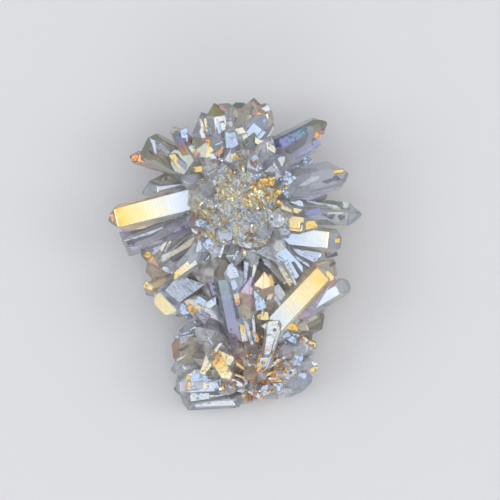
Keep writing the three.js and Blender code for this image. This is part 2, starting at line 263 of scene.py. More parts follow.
# %% Floor
HALF = 4.0  # metres from the middle to each side
floor_mesh = bpy.data.meshes.new("floor")
corners = [(-HALF, -HALF, 0), (HALF, -HALF, 0), (HALF, HALF, 0), (-HALF, HALF, 0)]
floor_mesh.from_pydata(corners, [], [(0, 1, 2, 3)])
floor = placed("floor", floor_mesh)
floor_finish, shader, place = new_material("pale_floor")
fill(shader, Base_Color=srgb(222, 222, 224), Roughness=0.75, Specular_IOR_Level=0.2)
floor_mesh.materials.append(floor_finish)
floor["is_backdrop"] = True
print("floor:", 2 * HALF, "m square")

# %% [markdown]
# ## The crystals
# A quartz point is bounded by flat faces only, so it is easiest to say where each face lies: six
# prism faces round the long axis and six end faces that lean 51.8 degrees from it. The crystal is all
# the space behind every one of them. The table is the solid model's, with ten thin or short points
# more, which fill gaps in the crowd.
#
# A row gives tip and root; width; how flat it is, as the distance of one pair of prism faces in shares
# of the others'; roll in degrees; then the end: bearing of its largest face, and how much farther out
# the faces opposite, every second face, and the faces square to it lie, in half widths. A snap is a
# break across the tip: bearing and tilt of the break, and its depth.
#
# A film has three to eight numbers: its order at the tip and where the point leaves the crowd, and
# the shine of the faces; then order and shine of the end faces; milk in the body, where a number
# below zero instead paints the body near black, a painted dark reflection; strength of the growth
# grooves, which also sets the painted shade in them; glitter. The order grows with the film's
# thickness, and one order is about one run through the colours. A row without a film draws a pale one.

# %% Table of points
DEGREE = math.pi / 180
APEX_LEAN = 51.8 * DEGREE  # from the long axis to the normal of an end face
TAPER = 1.2 * DEGREE  # a point narrows a little towards its tip
CORNER_TO_FLAT = math.cos(30 * DEGREE)  # of a regular hexagon

# tip, root, width, flat, roll, (bearing, lean, alternation, chisel), film, snap
EVEN = (0, 0, 0.12, 0)
TRIGONAL = (0, 0, 0.55, 0)
FAN = [
    # the long points on the left, from top to bottom
    ((-22.6, 27.6, 20.5), (0, 15.8, 16), 8.4, .7, 12, (0, .1, .1, 1.3), (1.3, .86, .55)),
    ((-26.6, 25.0, 13.9), (-9, 20.6, 13.4), 3.6, 1, 0, (20, .4, .3, 0), (.64, .6, 1.0)),
    ((-21.6, 19.6, 11.5), (-2, 15.6, 12), 7.0, .9, 22, (120, .7, .2, .4), (.4, .12, .3)),
    ((-23.5, 15.4, 14.0), (-2, 17.4, 14), 5.8, .8, -6, (-30, .6, .2, .4), (.2, .12, .7)),
    ((-31.8, 8.7, 19.4), (0, 16.6, 19), 7.0, .66, 3, (180, .2, .3, .25), (.56, .17, .88, .4, .35)),
    ((-29.7, 2.0, 14.6), (-1, 13.0, 15), 7.4, .9, 24, (20, .3, .2, .9), (.88, .92, .12, .2, .3, -.1),
     (0, 10, .8)),
    ((-23.2, -.8, 13.0), (-3, 14.8, 15), 7.4, .8, 10, (0, .3, .2, 1.0), (1.4, 1.35, .15, .5, .3, .2)),
    ((-21.6, -5.6, 11.0), (-2, 11.4, 15), 7.4, .8, -14, (0, .3, .2, .9), (1.42, 1.4, .3, .5, .3, .2)),
    ((-22.6, -9.8, 8.6), (-2, 4, 10), 7.6, .9, 24, (60, .3, .3, .7), (1.42, 1.4, .3, .5, .3, .1)),
    ((-17.6, -4.6, 18.4), (-1, 12, 20), 4.8, .8, 26, EVEN, (.3, .15, .3, .5, .3, .3)),
    ((-15.4, -5.6, 20.4), (-.5, 10.6, 22), 4.6, .8, 20, (20, .4, .3, .3), (.2, .15, .4, .84, .5, .4)),
    ((-18.7, -13.4, 19.6), (-7.6, -2.4, 7.6), 7.8, .46, 0, (0, .1, .1, .9),
     (.12, .1, .8, .45, 1.0, 1.0, 1.0)),
    ((-17.2, -13.8, 11.0), (-2, -4, 10), 7.6, .9, 14, (0, .2, .2, .8), (.42, .6, .5)),
    ((-22.9, -8.8, 14.6), (-8, -3.2, 13), 3.2, 1, 12, TRIGONAL, (.45, .3, .8)),
    # the points at the top
    ((-14.5, 31.7, 25.0), (-7, 18, 20), 5.0, .9, 32, (90, .5, .2, 0), (1.15, .15, .7)),
    ((-9.5, 35.5, 18.0), (-4, 18, 17), 6.2, .9, 18, (-60, .6, .3, .3), (.12, .1, .4)),
    ((-5.3, 38.0, 20.6), (-2.6, 20, 18), 5.6, .85, 26, (0, .3, .3, 0), (.3, .2, .4, 1.28, .9)),
    ((-2.4, 38.1, 15.5), (-1.5, 20, 14), 5.4, 1, 5, (0, .2, .2, .8), (.3, .2, .4)),
    ((1.0, 38.4, 14.4), (.2, 18, 14), 7.6, .9, 12, (30, .3, .3, 1.0), (1.12, .2, .3)),
    ((4.6, 39.5, 16.2), (.6, 19, 15), 6.8, .9, 24, (-20, .5, .3, .3), (.5, .2, .3)),
    ((8.0, 37.8, 18.4), (1, 20, 17), 5.6, .85, 4, (60, .4, .2, .5), (.68, .3, .6)),
    ((9.6, 35.8, 22.0), (1.2, 21, 19), 5.0, .8, 34, (90, .4, .3, .8), (.42, .1, .7)),
    ((8.0, 34.8, 24.6), (-1, 24, 23.6), 4.6, .75, 0, (0, .8, .2, 0), (.1, .12, 1.0)),
    ((11.4, 30.0, 19.0), (1.6, 20, 17), 5.0, .9, 20, EVEN, (.3, .15, .6)),
    # the long points on the right, from top to bottom
    ((23.3, 32.1, 22.6), (0, 19.8, 18), 8.6, .85, -18, (60, .4, .2, .4), (.9, .86, .25, 1.28, .7, -.1)),
    ((19.4, 31.6, 23.4), (3, 23.0, 19.8), 4.4, .8, 30, TRIGONAL, (1.08, .86, 1.0)),
    ((20.8, 29.4, 22.8), (4, 20.4, 19.2), 4.6, .8, 30, TRIGONAL, (.9, .84, .9, .66, 1.0)),
    ((19.7, 22.9, 12.4), (2, 15.6, 13), 5.6, .9, 2, (30, .4, .2, .8), (.98, .88, .4)),
    ((28.2, 20.9, 19.6), (1.4, 14.5, 18), 8.0, .75, 14, (-30, .35, .3, 0), (.1, .12, .3, .2, .3, .1)),
    ((23.2, 15.0, 13.6), (2, 12.5, 14), 5.8, .9, 25, TRIGONAL, (.3, .2, .4)),
    ((31.8, 10.3, 16.2), (1.6, 11.4, 17), 6.8, .9, 30, (0, .1, .15, 0), (1.2, .9, .25, .2, .5, -.1)),
    ((19.6, 7.5, 22.6), (4, 9.4, 22.0), 4.2, .8, 0, (0, .9, .1, .3), (.5, .45, .8, .25, .3)),
    ((26.5, 3.3, 18.6), (1.8, 6.2, 18), 6.4, .72, -4, (0, .3, .1, .8), (.42, .1, 1.0, .2, .6)),
    ((23.6, -2.0, 17.0), (2.4, 8.6, 17), 5.8, .75, -6, (-50, .4, .2, .3), (.14, .12, .9)),
    ((25.6, -.6, 10.6), (3, 8, 12), 6.6, .9, 18, (100, .4, .3, .4), (.85, .3, .3)),
    ((18.2, -6.6, 19.0), (3.0, 9.6, 22), 5.6, .75, 2, (-60, .5, .2, .2), (.12, .1, .9)),
    ((14.6, -7.6, 21.0), (3.6, 6.0, 22), 4.2, .9, 24, EVEN, (.4, .2, .6)),
    ((13.6, -9.8, 16.4), (3, -1, 16), 6.4, .9, 12, EVEN, (.4, .3, .4)),
    ((19.0, -8.0, 12.0), (3.6, 6.0, 14), 7.0, .9, 12, TRIGONAL, (.5, .4, .4)),
]
DOME = [
    # shorter points round the crowded top of the upper heart, leaning outwards from it
    ((-15.6, 25.2, 24.6), (-3, 17.0, 20.5), 7.4, .7, -10, (0, .6, .2, .5), (1.25, 1.1, .35)),
    ((-10.4, 29.4, 26.6), (-3.2, 17, 22), 5.6, .8, 16, TRIGONAL, (1.26, 1.15, .35, 1.28, .7)),
    ((-5.2, 30.4, 27.0), (-2, 18, 21), 4.8, .9, 22, EVEN),
    ((-.6, 32.0, 27.0), (0, 19, 21), 5.4, .9, 30, TRIGONAL),
    ((4.6, 30.2, 27.2), (2, 18, 21), 5.0, .9, 18, (0, .5, .2, 0), (1.3, .3, .4)),
    ((9.4, 29.0, 27.4), (2.5, 17, 22), 5.4, .8, 24, (40, .5, .3, 0)),
    ((13.6, 24.2, 27.6), (3, 16, 22.5), 6.4, .8, 18, (30, .3, .3, .6), (.16, .12, .3), (30, 30, 1.2)),
    ((15.2, 18.0, 25.6), (3, 14, 20), 5.4, .9, 26, TRIGONAL),
    ((15.0, 11.4, 25.4), (3, 12.4, 19), 5.8, .9, 12, (180, .4, .2, 0)),
    ((13.8, 5.4, 25.0), (3, 10, 19), 5.4, .9, 20, EVEN),
    ((-13.2, 20.0, 25.8), (-2, 14.6, 20), 5.4, .9, 22, (90, .4, .2, 0)),
    ((-10.6, 14.2, 25.2), (-2, 12.6, 20), 5.0, .9, 38, EVEN),
    ((-11.6, 7.0, 24.6), (-1, 10, 19), 5.6, .85, 16, (-40, .5, .2, 0), (.86, .2, .4)),
    ((-9.8, .6, 24.0), (-1, 9, 19), 5.4, .85, 22, EVEN),
    ((-5.6, -.8, 25.4), (0, 9.4, 20), 5.0, .9, 14, TRIGONAL),
    ((-.4, -3.4, 25.6), (1, 9, 20), 5.4, .9, 24, EVEN),
    ((4.6, -3.0, 25.0), (2, 9, 20), 5.4, .9, 12, (0, .4, .2, 0)),
    ((9.0, -1.4, 25.6), (2.6, 9, 20), 5.2, .9, 20, (60, .4, .2, 0)),
    ((12.4, 1.6, 25.6), (3, 9.4, 20), 4.8, .9, 30, TRIGONAL),
    # a lower, steeper ring of them round the middle of the heart
    ((-7.4, 24.0, 29.6), (-2, 15, 21), 5.2, .9, 10, TRIGONAL),
    ((-1.0, 26.4, 30.0), (0, 16, 21), 5.2, .9, 24, EVEN),
    ((5.8, 24.6, 30.2), (1.6, 15.6, 21), 5.4, .9, 2, (60, .4, .2, 0)),
    ((-8.8, 17.4, 29.8), (-1, 13, 21), 5.4, .9, 26, EVEN),
    ((-3.6, 3.2, 29.4), (.6, 10, 21), 5.6, .9, 4, TRIGONAL),
    ((3.4, 2.4, 29.4), (1, 10, 21), 5.8, .9, 20, (0, .5, .2, .4)),
    ((8.6, 4.4, 29.2), (2, 10, 21), 5.4, .9, 34, EVEN),
    ((-1.4, 9.6, 32.2), (.4, 11.5, 18), 7.6, .9, 20, (200, .4, .2, 0),
     (.2, .12, .3, .2, .3, .6, .1, 1.0), (0, 8, 1.6)),
    # blunt ones in the middle, broken across their ends
    ((-8.8, 11.9, 30.6), (-1, 12.6, 17), 6.0, .9, 8, EVEN, (.35, .3, .9, .38, .9, .2, .1, 1.0),
     (0, 28, 1.5)),
    ((-2.3, 16.0, 32.4), (.3, 13, 18), 6.4, .9, 24, EVEN, (.4, .3, .9, .4, .9, .2, .1, 1.0),
     (10, 13, 1.6)),
    ((6.6, 15.2, 32.0), (1.6, 13, 18), 7.0, .9, 14, EVEN, (.45, .3, .9, .45, .9, .2, .1, 1.0),
     (-10, 19, 1.7)),
    ((12.2, 8.2, 29.6), (2.4, 11.5, 17), 6.0, .9, 26, EVEN, (.28, .2, .9, .28, .9, .2, .1, 1.0),
     (0, 36, 1.5)),
    ((3.8, 9.2, 31.4), (1, 11.5, 18), 5.6, .9, 4, EVEN, (.2, .2, .6, .2, .6, .4, .1, 1.0), (0, 5, 1.4)),
]
FOOT = [
    # the spray that rises from the lower heart over the flank of the fan
    ((-3.3, -1.4, 26.8), (2.4, -27, 12), 6.0, .85, -10, (-30, .5, .2, 0),
     (1.12, .82, .6, 1.45, .7, -.15)),
    ((-.7, -2.2, 27.8), (4.6, -26, 13), 5.2, .8, 8, (60, .5, .2, 0), (.14, .12, .8, .2, .8, .4)),
    ((3.8, -5.2, 27.0), (4, -27, 11), 6.8, .9, 30, EVEN, (.84, .15, .3, .84, .5, .6)),
    ((7.2, -4.0, 29.0), (6.4, -22, 12), 6.2, .95, 30, (0, 0, .05, 0), (.56, .45, .6)),
    ((7.0, -13.4, 24.6), (5.6, -25, 12), 3.8, .95, 30, (0, 0, .05, 0), (.58, .3, .9)),
    ((10.9, -15.6, 23.0), (6.6, -27.6, 21.2), 3.0, .8, 0, (0, .2, .2, .3), (.36, .16, 1.0)),
    ((13.8, -17.0, 21.6), (5, -27, 10), 4.4, .9, 20, (0, .4, .2, 0)),
    ((10.8, -7.0, 22.0), (4, -26, 12), 6.4, .9, 16, TRIGONAL, (.1, .15, .4, .2, .5, .6)),
    ((4.8, -18.6, 22.8), (3.6, -27, 11), 3.6, 1, 14, TRIGONAL),
    ((24.9, -1.2, 22.8), (8.4, -18.8, 19.8), 7.3, .82, 0, (-30, .2, .3, .5), (.62, .38, .95, .4, .6)),
    ((28.6, -6.9, 13.6), (6, -20, 12.2), 4.7, .95, 0, (0, .3, .2, .8), (.3, .12, 1.0)),
    ((23.9, -11.0, 10.0), (2, -22, 9), 7.4, .9, 20, (60, .4, .3, .6), (1.36, 1.3, .5)),
    ((22.2, -14.6, 9.0), (2, -24, 8), 7.4, .9, 8, (0, .3, .3, .8), (1.36, 1.3, .5)),
    ((20.0, -18.6, 9.4), (2, -26, 8), 6.4, .9, 26, (0, .3, .3, .6), (1.36, 1.3, .5)),
    ((-12.2, -11.6, 21.6), (2, -17, 13), 6.0, .8, 6, (0, .6, .2, 0), (.2, .15, .4, .4, .6, .5)),
    ((-12.8, -14.8, 18.4), (2, -22, 10), 5.6, .9, 24, EVEN),
    ((-9.4, -17.6, 20.4), (2, -27, 10), 6.2, .85, 12, (60, .4, .2, 0)),
    ((-15.8, -23.6, 13.0), (2, -22.2, 10), 7.8, .9, 14, (0, .2, .2, 1.2), (.62, .2, .4)),
    ((-14.2, -18.0, 10.4), (2, -18, 9), 7.6, .9, 26, (80, .5, .3, .4)),
    ((-16.3, -28.8, 9.4), (0, -26, 8), 4.4, 1, 10, (0, .3, .3, .4)),
    ((-10.6, -25.4, 17.4), (0, -26, 9), 6.6, .9, 28, (0, .3, .2, .3), (1.46, 1.4, .35)),
    ((-7.0, -22.0, 20.6), (.4, -27, 9), 6.0, .9, 0, (0, .5, .2, 0)),
    ((-4.4, -25.0, 23.2), (-.4, -30, 8), 6.2, .95, 28, (30, .2, .1, 0)),
    # the broad point along the bottom edge, broken across its end, and the narrow ones on its back
    ((-17.0, -34.9, 8.0), (0, -33.6, 8), 9.4, .85, 2, (0, .5, .3, 1.2), (.15, .2, .25), (-40, 20, 1.0)),
    ((-12.6, -32.8, 14.4), (1, -31.6, 12), 3.4, .9, 0, (0, .4, .2, 0)),
    ((-12.0, -30.4, 15.6), (0, -28.6, 10), 4.0, .9, 10, (0, .6, .2, 0)),
    ((-12.4, -36.6, 4.6), (4, -34, 5), 6.4, .8, 20, (60, .6, .3, .5)),
    ((-4.4, -38.9, 6.0), (2, -28, 7), 9.0, .9, 10, (30, .3, .3, 1.4), None, (0, 12, .6)),
    ((4.2, -38.6, 7.0), (3, -28, 7), 7.4, .9, 24, (-60, .4, .3, .8), None, (60, 20, 1.0)),
    ((10.6, -36.4, 7.4), (3, -28, 7), 6.4, .9, 6, (40, .4, .3, .6)),
    # the short points on the right of the foot
    ((20.4, -22.2, 12.6), (3, -26.6, 9), 5.6, .9, 16, (-50, .3, .2, .4)),
    ((20.5, -28.2, 11.6), (3, -28, 9), 5.6, .9, -16, (60, .3, .2, .4)),
    ((19.3, -31.7, 8.6), (3, -29, 8), 6.4, .9, 12, (0, .4, .2, .6)),
    ((16.9, -34.4, 6.4), (3, -30, 7), 5.6, .9, 26, EVEN),
    ((14.6, -22.8, 19.4), (3, -27, 9), 5.2, .9, 20, TRIGONAL),
    ((14.6, -28.8, 17.4), (3, -28.4, 9), 5.4, .9, 8, (0, .5, .2, 0)),
    ((11.0, -33.0, 15.0), (3, -29, 8), 5.0, .9, 22, EVEN),
    ((4.6, -34.2, 17.0), (3, -29, 8), 5.0, .9, 12, TRIGONAL),
    ((-2.0, -33.6, 17.2), (2, -29, 8), 4.8, .9, 26, EVEN),
    ((9.0, -25.4, 20.6), (4, -28, 8), 4.4, .9, 4, TRIGONAL),
    ((4.0, -29.6, 20.0), (3, -28.6, 8), 4.2, .9, 20, EVEN),
]
SKIRTS = [
    # low rings: heart, count, bearings, reach along X and Y, height of the tips, width
    ((.7, 14, 11), 9, (-22, 202), (18.5, 17.5), 6.4, 6.4),
    ((1.2, 14, 7), 8, (-12, 190), (15.5, 14.5), 3.6, 5.4),
    ((2, -15, 8), 2, (-12, 10), (15, 9), 5.2, 6.4),
    ((2, -7, 8), 2, (-8, 12), (16, 10), 5.8, 6.4),
    ((1, -15, 8), 2, (172, 190), (13.5, 9), 5.2, 6.4),
    ((1, -7, 8), 2, (168, 188), (15, 10), 5.8, 6.4),
    ((2.5, -28, 6), 8, (-170, 12), (12.5, 7.5), 3.8, 5.0),
]


def uneven(n):
    """A small uneven share between -1 and 1 that differs from one number to the next."""
    return math.sin(n * 12.9898) * math.cos(n * 4.1414)


def skirt_rows():
    """The low points all round, in rings, with lengths, widths and droop all slightly different."""
    rows = []
    for ring, (heart, count, (start, end), reach, low, width) in enumerate(SKIRTS):
        for i in range(count):
            n = 31 * ring + i
            bearing = (start + (end - start) * (i + 0.3 * uneven(n)) / (count - 1)) * DEGREE
            length = 1 + 0.1 * uneven(n + 0.5)
            tip = (heart[0] + reach[0] * length * math.cos(bearing),
                   heart[1] + reach[1] * length * math.sin(bearing), low + 1.2 * uneven(n + 0.7))
            apex = (90 * uneven(n + 1.3), 0.5, 0.3, 0)
            rows.append((tip, heart, width * (1 + 0.2 * uneven(n + 0.9)), 0.9, 30 * uneven(n + 1.1),
                         apex))
    return rows


ROWS = [*FAN, *DOME, *FOOT, *skirt_rows()]
print("points:", len(ROWS))

# %% [markdown]
# A row of the table becomes planes. A plane is a normal, the direction in which the face looks, and
# its distance from the origin along that direction. Bearings are counted round the axis, from the
# highest direction across it.


# %% Planes of a point
def unit(v):
    """The direction of a vector: the vector over its length."""
    return v / np.linalg.norm(v, axis=-1, keepdims=True)


def own_frame(row):
    """Tip, root and length of a point, and three directions: along it, the highest one across it,
    and the one square to both."""
    tip, root = np.array(row[0], float), np.array(row[1], float)
    length = np.linalg.norm(tip - root)
    axis = (tip - root) / length
    up = unit(np.array((0, 0, 1.0)) - axis * axis[2])
    return tip, root, length, axis, up, np.cross(axis, up)


def point_planes(row, length):
    """Normals and distances of one point's faces: root cap, six prism faces, six end faces, snap.
    Each face has a normal and a place it passes through, and its distance is their dot product."""
    _, root, _, axis, up, side = own_frame(row)
    width, flat, roll, (grown, lean, alternation, chisel) = row[2:6]
    reach = width / 2 * CORNER_TO_FLAT
    shoulder = length - reach * math.tan(APEX_LEAN)
    i = np.arange(6)
    bearing = roll * DEGREE + i * 60 * DEGREE
    off = bearing - grown * DEGREE
    behind = lean * (1 - np.cos(off)) + (i % 2) * alternation + chisel * np.sin(off) ** 2
    around = np.cos(bearing)[:, None] * up + np.sin(bearing)[:, None] * side
    outward = np.where(i % 3 == 0, reach * flat, reach)[:, None]
    prism = around * math.cos(TAPER) + axis * math.sin(TAPER)
    ends = around * math.sin(APEX_LEAN) + axis * math.cos(APEX_LEAN)
    normals = [-axis[None], prism, ends]
    through = [root[None], root + axis * shoulder + around * outward,
               root + axis * (length + behind * reach)[:, None]]
    if len(row) > 7:
        turn, tilt, depth = row[7][0] * DEGREE, row[7][1] * DEGREE, row[7][2]
        cut = (math.cos(turn) * up + math.sin(turn) * side) * math.sin(tilt) + axis * math.cos(tilt)
        normals.append(cut[None])
        through.append((root + axis * (length - depth))[None])
    normals, through = np.concatenate(normals), np.concatenate(through)
    return normals, (normals * through).sum(1)


print("planes of the first point:", len(point_planes(ROWS[0], 20.0)[0]))

# %% [markdown]
# Where three faces meet there may be a corner. All triples of faces are solved at once, as a stack of
# small systems of equations, and a corner is kept where it lies behind every other face. Real edges
# are never razor sharp, so each edge gets one more narrow face that cuts it back by a few hundredths
# of a millimetre. The hull of the corners is the crystal.

# %% Corners and hull of a convex body
TRIPLES = {}  # by the number of planes: all ways to take three of them
SQUARENESS = 1e-4  # three normals with a smaller determinant have no clear corner
SLACK, SAME, ON_PLANE = 1e-6, 2e-3, 4e-3  # mm: behind a plane, at one corner, on a plane
NEARLY_FLUSH = 0.98  # cosine of the angle under which two faces need no easing


def body_corners(normals, distances):
    """Corners of the convex body behind every plane: the solutions p of n.p = d for three planes at
    a time that no other plane cuts off. Also says which planes each corner lies on."""
    count = len(normals)
    if count not in TRIPLES:
        TRIPLES[count] = np.array(list(combinations(range(count), 3)))
    trio = TRIPLES[count]
    systems, values = normals[trio], distances[trio]
    solvable = np.abs(np.linalg.det(systems)) > SQUARENESS
    found = np.linalg.solve(systems[solvable], values[solvable][..., None])[..., 0]
    found = found[(found @ normals.T <= distances + SLACK).all(1)]
    near = np.linalg.norm(found[:, None] - found[None], axis=2) < SAME
    found = found[np.unique(near.argmax(1))]
    return found, np.abs(found @ normals.T - distances) < ON_PLANE


def eased(normals, distances, ease):
    """Adds a narrow face along every edge but those of the root cap: its normal is halfway between
    those of the edge's two faces, and it lies the given depth below the edge."""
    corners, touches = body_corners(normals, distances)
    shared = touches.T.astype(int) @ touches.astype(int)
    i, j = np.nonzero(np.triu(shared >= 2, 1))
    keep = (i >= 1) & ((normals[i] * normals[j]).sum(1) < NEARLY_FLUSH)
    i, j = i[keep], j[keep]
    on = np.array([corners[touches[:, a] & touches[:, b]].mean(0) for a, b in zip(i, j)])
    extra = unit(normals[i] + normals[j])
    return np.concatenate([normals, extra]), np.concatenate([distances, (extra * on).sum(1) - ease])


def hull(corners):
    """Vertices and outward triangles of the convex hull of some points."""
    bm = bmesh.new()
    for corner in corners:
        bm.verts.new(corner)
    made = bmesh.ops.convex_hull(bm, input=bm.verts)
    spare = {v for v in [*made["geom_interior"], *made["geom_unused"]]
             if isinstance(v, bmesh.types.BMVert)}
    bmesh.ops.delete(bm, geom=list(spare), context="VERTS")
    bmesh.ops.recalc_face_normals(bm, faces=bm.faces)
    bm.verts.index_update()
    vertices = np.array([v.co for v in bm.verts], float)
    faces = np.array([[v.index for v in f.verts] for f in bm.faces])
    bm.free()
    return vertices, faces


def solid(normals, distances):
    """Vertices and outward triangles of the convex body behind every plane."""
    return hull(body_corners(normals, distances)[0])


cube = np.concatenate([np.eye(3), -np.eye(3)])
print("corners and triangles behind six square planes:", [len(part) for part in solid(cube, np.ones(6))])

# %% [markdown]
# Each corner of each face carries numbers for the shader. `growth` holds the film's order, the shine
# and the distance from the tip in millimetres. They are straight-line functions of place, so they
# stay exact when the crystals are cut and joined. `trait` holds the strength of the growth grooves,
# which sets both their bump and their painted shade, the glitter, and the milk in the body; below
# zero, that last number paints the body near black as a painted dark reflection.

# %% One crystal as arrays
VISIBLE_SHARE = 0.62  # of a point's length, from its tip to where it leaves the crowd
PALE_ORDERS = (0.1, 0.15, 0.2, 0.25, 0.3)
PLAIN = (0.0, 0.1, 0.0)  # milk, grooves and glitter where a film doesn't give them
STEEP_ORDER = 0.14  # what the order gains on an upright face
ORDER_DRIFT, SHINE_DRIFT = 0.08, 0.3  # how far one face differs from the next
MOST_EDGES = 64  # no crystal has more


def facing(at):
    """Unit normals of triangles from the places of their corners: the cross product of two sides."""
    return unit(np.cross(at[:, 1] - at[:, 0], at[:, 2] - at[:, 0]) + 1e-12)


def corner_vectors(faces, *values):
    """Three numbers for each triangle corner. Each is given once for all, by face or by corner."""
    return np.stack([np.broadcast_to(value, faces.shape) for value in values], axis=2).astype(float)


def crystal(row, ease, rng):
    """One point: vertices, triangles, and growth and trait for each triangle corner. The film's
    order runs in a straight line from tip to root and rises on steep faces. Its shine is whole where
    the normal's upward part is over 0.9, and falls in a straight line to 0.35 of it at 0.6."""
    tip, root, wanted, axis = own_frame(row)[:4]
    rough = point_planes(row[:6], wanted)
    overshoot = ((body_corners(*rough)[0] - root) @ axis).max() - wanted
    normals, distances = point_planes(row, wanted - overshoot)
    kinds = len(normals)
    if ease:
        normals, distances = eased(normals, distances, ease)
    vertices, faces = solid(normals, distances)
    film = row[6] if len(row) > 6 else None
    if not film:
        order, shine = rng.choice(PALE_ORDERS), rng.uniform(0.15, 0.6)
        film = (order, 0.15, shine, order, shine, 0.3, 0.15, 0.15)
    milk, grooves_and_shade, glitter = (*film[5:], *PLAIN[max(0, len(film) - 5):])
    at = vertices[faces]
    normal = facing(at)
    plane = (normal @ normals.T).argmax(1)
    steep = 1 - np.clip(normal[:, 2], 0, 1)
    from_tip = (tip - at) @ axis
    share = from_tip / wanted / VISIBLE_SHARE
    order = film[0] + (film[1] - film[0]) * share + (STEEP_ORDER * steep**1.5)[:, None]
    drift = rng.uniform(-0.5, 0.5, kinds + MOST_EDGES)[plane]
    shine = film[2] * (0.35 + 0.65 * np.clip((normal[:, 2] - 0.6) / 0.3, 0, 1))
    if len(film) > 3:
        ends = (plane > 6) & (plane < kinds)
        order[ends] += film[3] - film[0]
        shine[ends] = film[4]
    order += ORDER_DRIFT * drift[:, None]
    shine *= 1 + SHINE_DRIFT * drift
    prism = (plane >= 1) & (plane <= 6)
    return (vertices, faces, corner_vectors(faces, order, shine[:, None], from_tip),
            corner_vectors(faces, prism[:, None] * grooves_and_shade, glitter, milk))


print("triangles of the first point:", len(crystal(ROWS[0], 0, np.random.default_rng(1))[1]))

# %% [markdown]
# Bodies stay arrays for as long as possible, since arrays handle thousands of corners at once. A mesh
# takes them over in whole blocks with foreach_set, which is far quicker than a loop over vertices.


# %% From arrays to meshes
def mesh_object(name, vertices, faces, **corner_values):
    """A mesh object from arrays in millimetres, with named vectors on its triangle corners."""
    mesh = bpy.data.meshes.new(name)
    mesh.vertices.add(len(vertices))
    mesh.vertices.foreach_set("co", (vertices * MM).astype(np.float32).ravel())
    mesh.loops.add(faces.size)
    mesh.loops.foreach_set("vertex_index", faces.astype(np.int32).ravel())
    mesh.polygons.add(len(faces))
    mesh.polygons.foreach_set("loop_start", np.arange(0, faces.size, faces.shape[1], dtype=np.int32))
    mesh.update(calc_edges=True)
    for key, values in corner_values.items():
        layer = mesh.attributes.new(key, "FLOAT_VECTOR", "CORNER")
        layer.data.foreach_set("vector", values.astype(np.float32).ravel())
    mesh.validate()
    mesh.shade_flat()
    return placed(name, mesh)


def joined(parts):
    """Several bodies as one set of arrays."""
    shift = np.cumsum([0] + [len(p[0]) for p in parts[:-1]])
    return (np.concatenate([p[0] for p in parts]),
            np.concatenate([p[1] + s for p, s in zip(parts, shift)]),
            *(np.concatenate([p[k] for p in parts]) for k in range(2, len(parts[0]))))


# %% [markdown]
# Quartz rarely grows as one plain prism. Thinner crystals sit on it in the same position, side by
# side, and stop short of its tip, which leaves long steps along the faces and small facets that all
# flash together. Each point is given a few such companions.

# %% Grow the points
EASE = 0.045  # mm, how far an edge is cut back
STOUT = 2.5  # mm, the width above which edges are cut back
rng = np.random.default_rng(11)


def companions(row, count, rng):
    """Thinner copies of a point that stand out of one of its faces by a fraction of a millimetre.
    A bright face that looks up stays bare."""
    tip, root, length, axis, up, side = own_frame(row)
    width, flat, roll = row[2:5]
    film = row[6] if len(row) > 6 else None
    for _ in range(count):
        i = rng.integers(6)
        bearing = (roll + 60 * i) * DEGREE
        thin = rng.uniform(0.45, 0.72)
        reach = width / 2 * CORNER_TO_FLAT * (flat if i % 3 == 0 else 1)
        proud = rng.uniform(0.10, 0.28)
        shift = reach * (1 - thin) + proud
        move = (math.cos(bearing) * up + math.sin(bearing) * side) * shift
        if film and film[2] > 0.6 and move[2] > 0.5 * shift:
            continue
        slide = np.cross(axis, move / shift) * rng.uniform(-0.18, 0.18) * width
        short = rng.uniform(0.08, 0.5) * length * 0.6
        apex = (rng.uniform(-180, 180), rng.uniform(0.1, 0.6), 0.3, 0)
        yield (tuple(tip + move + slide - axis * short), tuple(root + move + slide), width * thin,
               flat, roll, apex, film)


parts = []
for row in ROWS:
    group = [row, *companions(row, int(rng.integers(1, 4)), rng)]
    parts += [crystal(member, EASE if member[2] > STOUT else 0, rng) for member in group]
print("crystals with companions:", len(parts))

# %% [markdown]
# ## The massive root
# Under the points is a lump of white quartz, broken off the rock. It breaks into flat and shell-like
# facets with no rule to them, so each lump is a body behind some dozens of planes that touch an
# ellipsoid at random places. One more plane is the broken back on which the cluster rests.

# %% Lumps
LUMPS = [
    # middle; half width along X, Y and Z
    ((0.7, 12.7, 14.5), (14.2, 14.6, 14.6)),
    ((2.0, -23.6, 6.0), (12.2, 12.6, 11.6)),
    ((1.0, -5.6, 7.0), (12.2, 15.0, 13.5)),
]


def lump(middle, radii, rng, share, count, low):
    """A body of as many random flat facets as count says: each plane touches the ellipsoid with this
    share of the radii, or cuts a little into it. The last plane is level, at height low. With normal
    n, radii r and middle m the distance of a touching plane is |n r| + n.m."""
    turn = unit(rng.normal(size=(count, 3)))
    radii = np.array(radii) * share
    support = np.linalg.norm(turn * radii, axis=1) * rng.uniform(0.93, 1.0, count)
    distances = turn @ np.array(middle) + support
    vertices, faces = solid(np.concatenate([turn, [[0, 0, -1.0]]]), np.concatenate([distances, [-low]]))
    return vertices, faces, corner_vectors(faces, 0.15, 0.05, 0), corner_vectors(faces, 0, 1, 1)


lumps = [lump(middle, radii, rng, share=1.0, count=90, low=0.0) for middle, radii in LUMPS]
print("lump faces:", [len(part[1]) for part in lumps])

# %% [markdown]
# ## Grown together
# All these bodies overlap, and glass inside glass would bend the light where nothing bends it in the
# real stone. A Boolean union leaves only the outer skin. The union works pair by pair, so bodies that
# don't touch each other are first put in one mesh, which saves steps.


# %% Union
def boxes_touch(a, b):
    """Whether two boxes, each a low and a high corner, overlap or lie within 0.02 mm."""
    return ((a[0] <= b[1] + 0.02) & (b[0] <= a[1] + 0.02)).all()


def batches(parts):
    """Sorts bodies into meshes in which no two boxes touch."""
    made = []
    for part in parts:
        box = (part[0].min(0), part[0].max(0))
        for batch in made:
            if not any(boxes_touch(box, other) for other in batch[1]):
                break
        else:
            batch = ([], [])
            made.append(batch)
        batch[0].append(part)
        batch[1].append(box)
    return [joined(batch[0]) for batch in made]


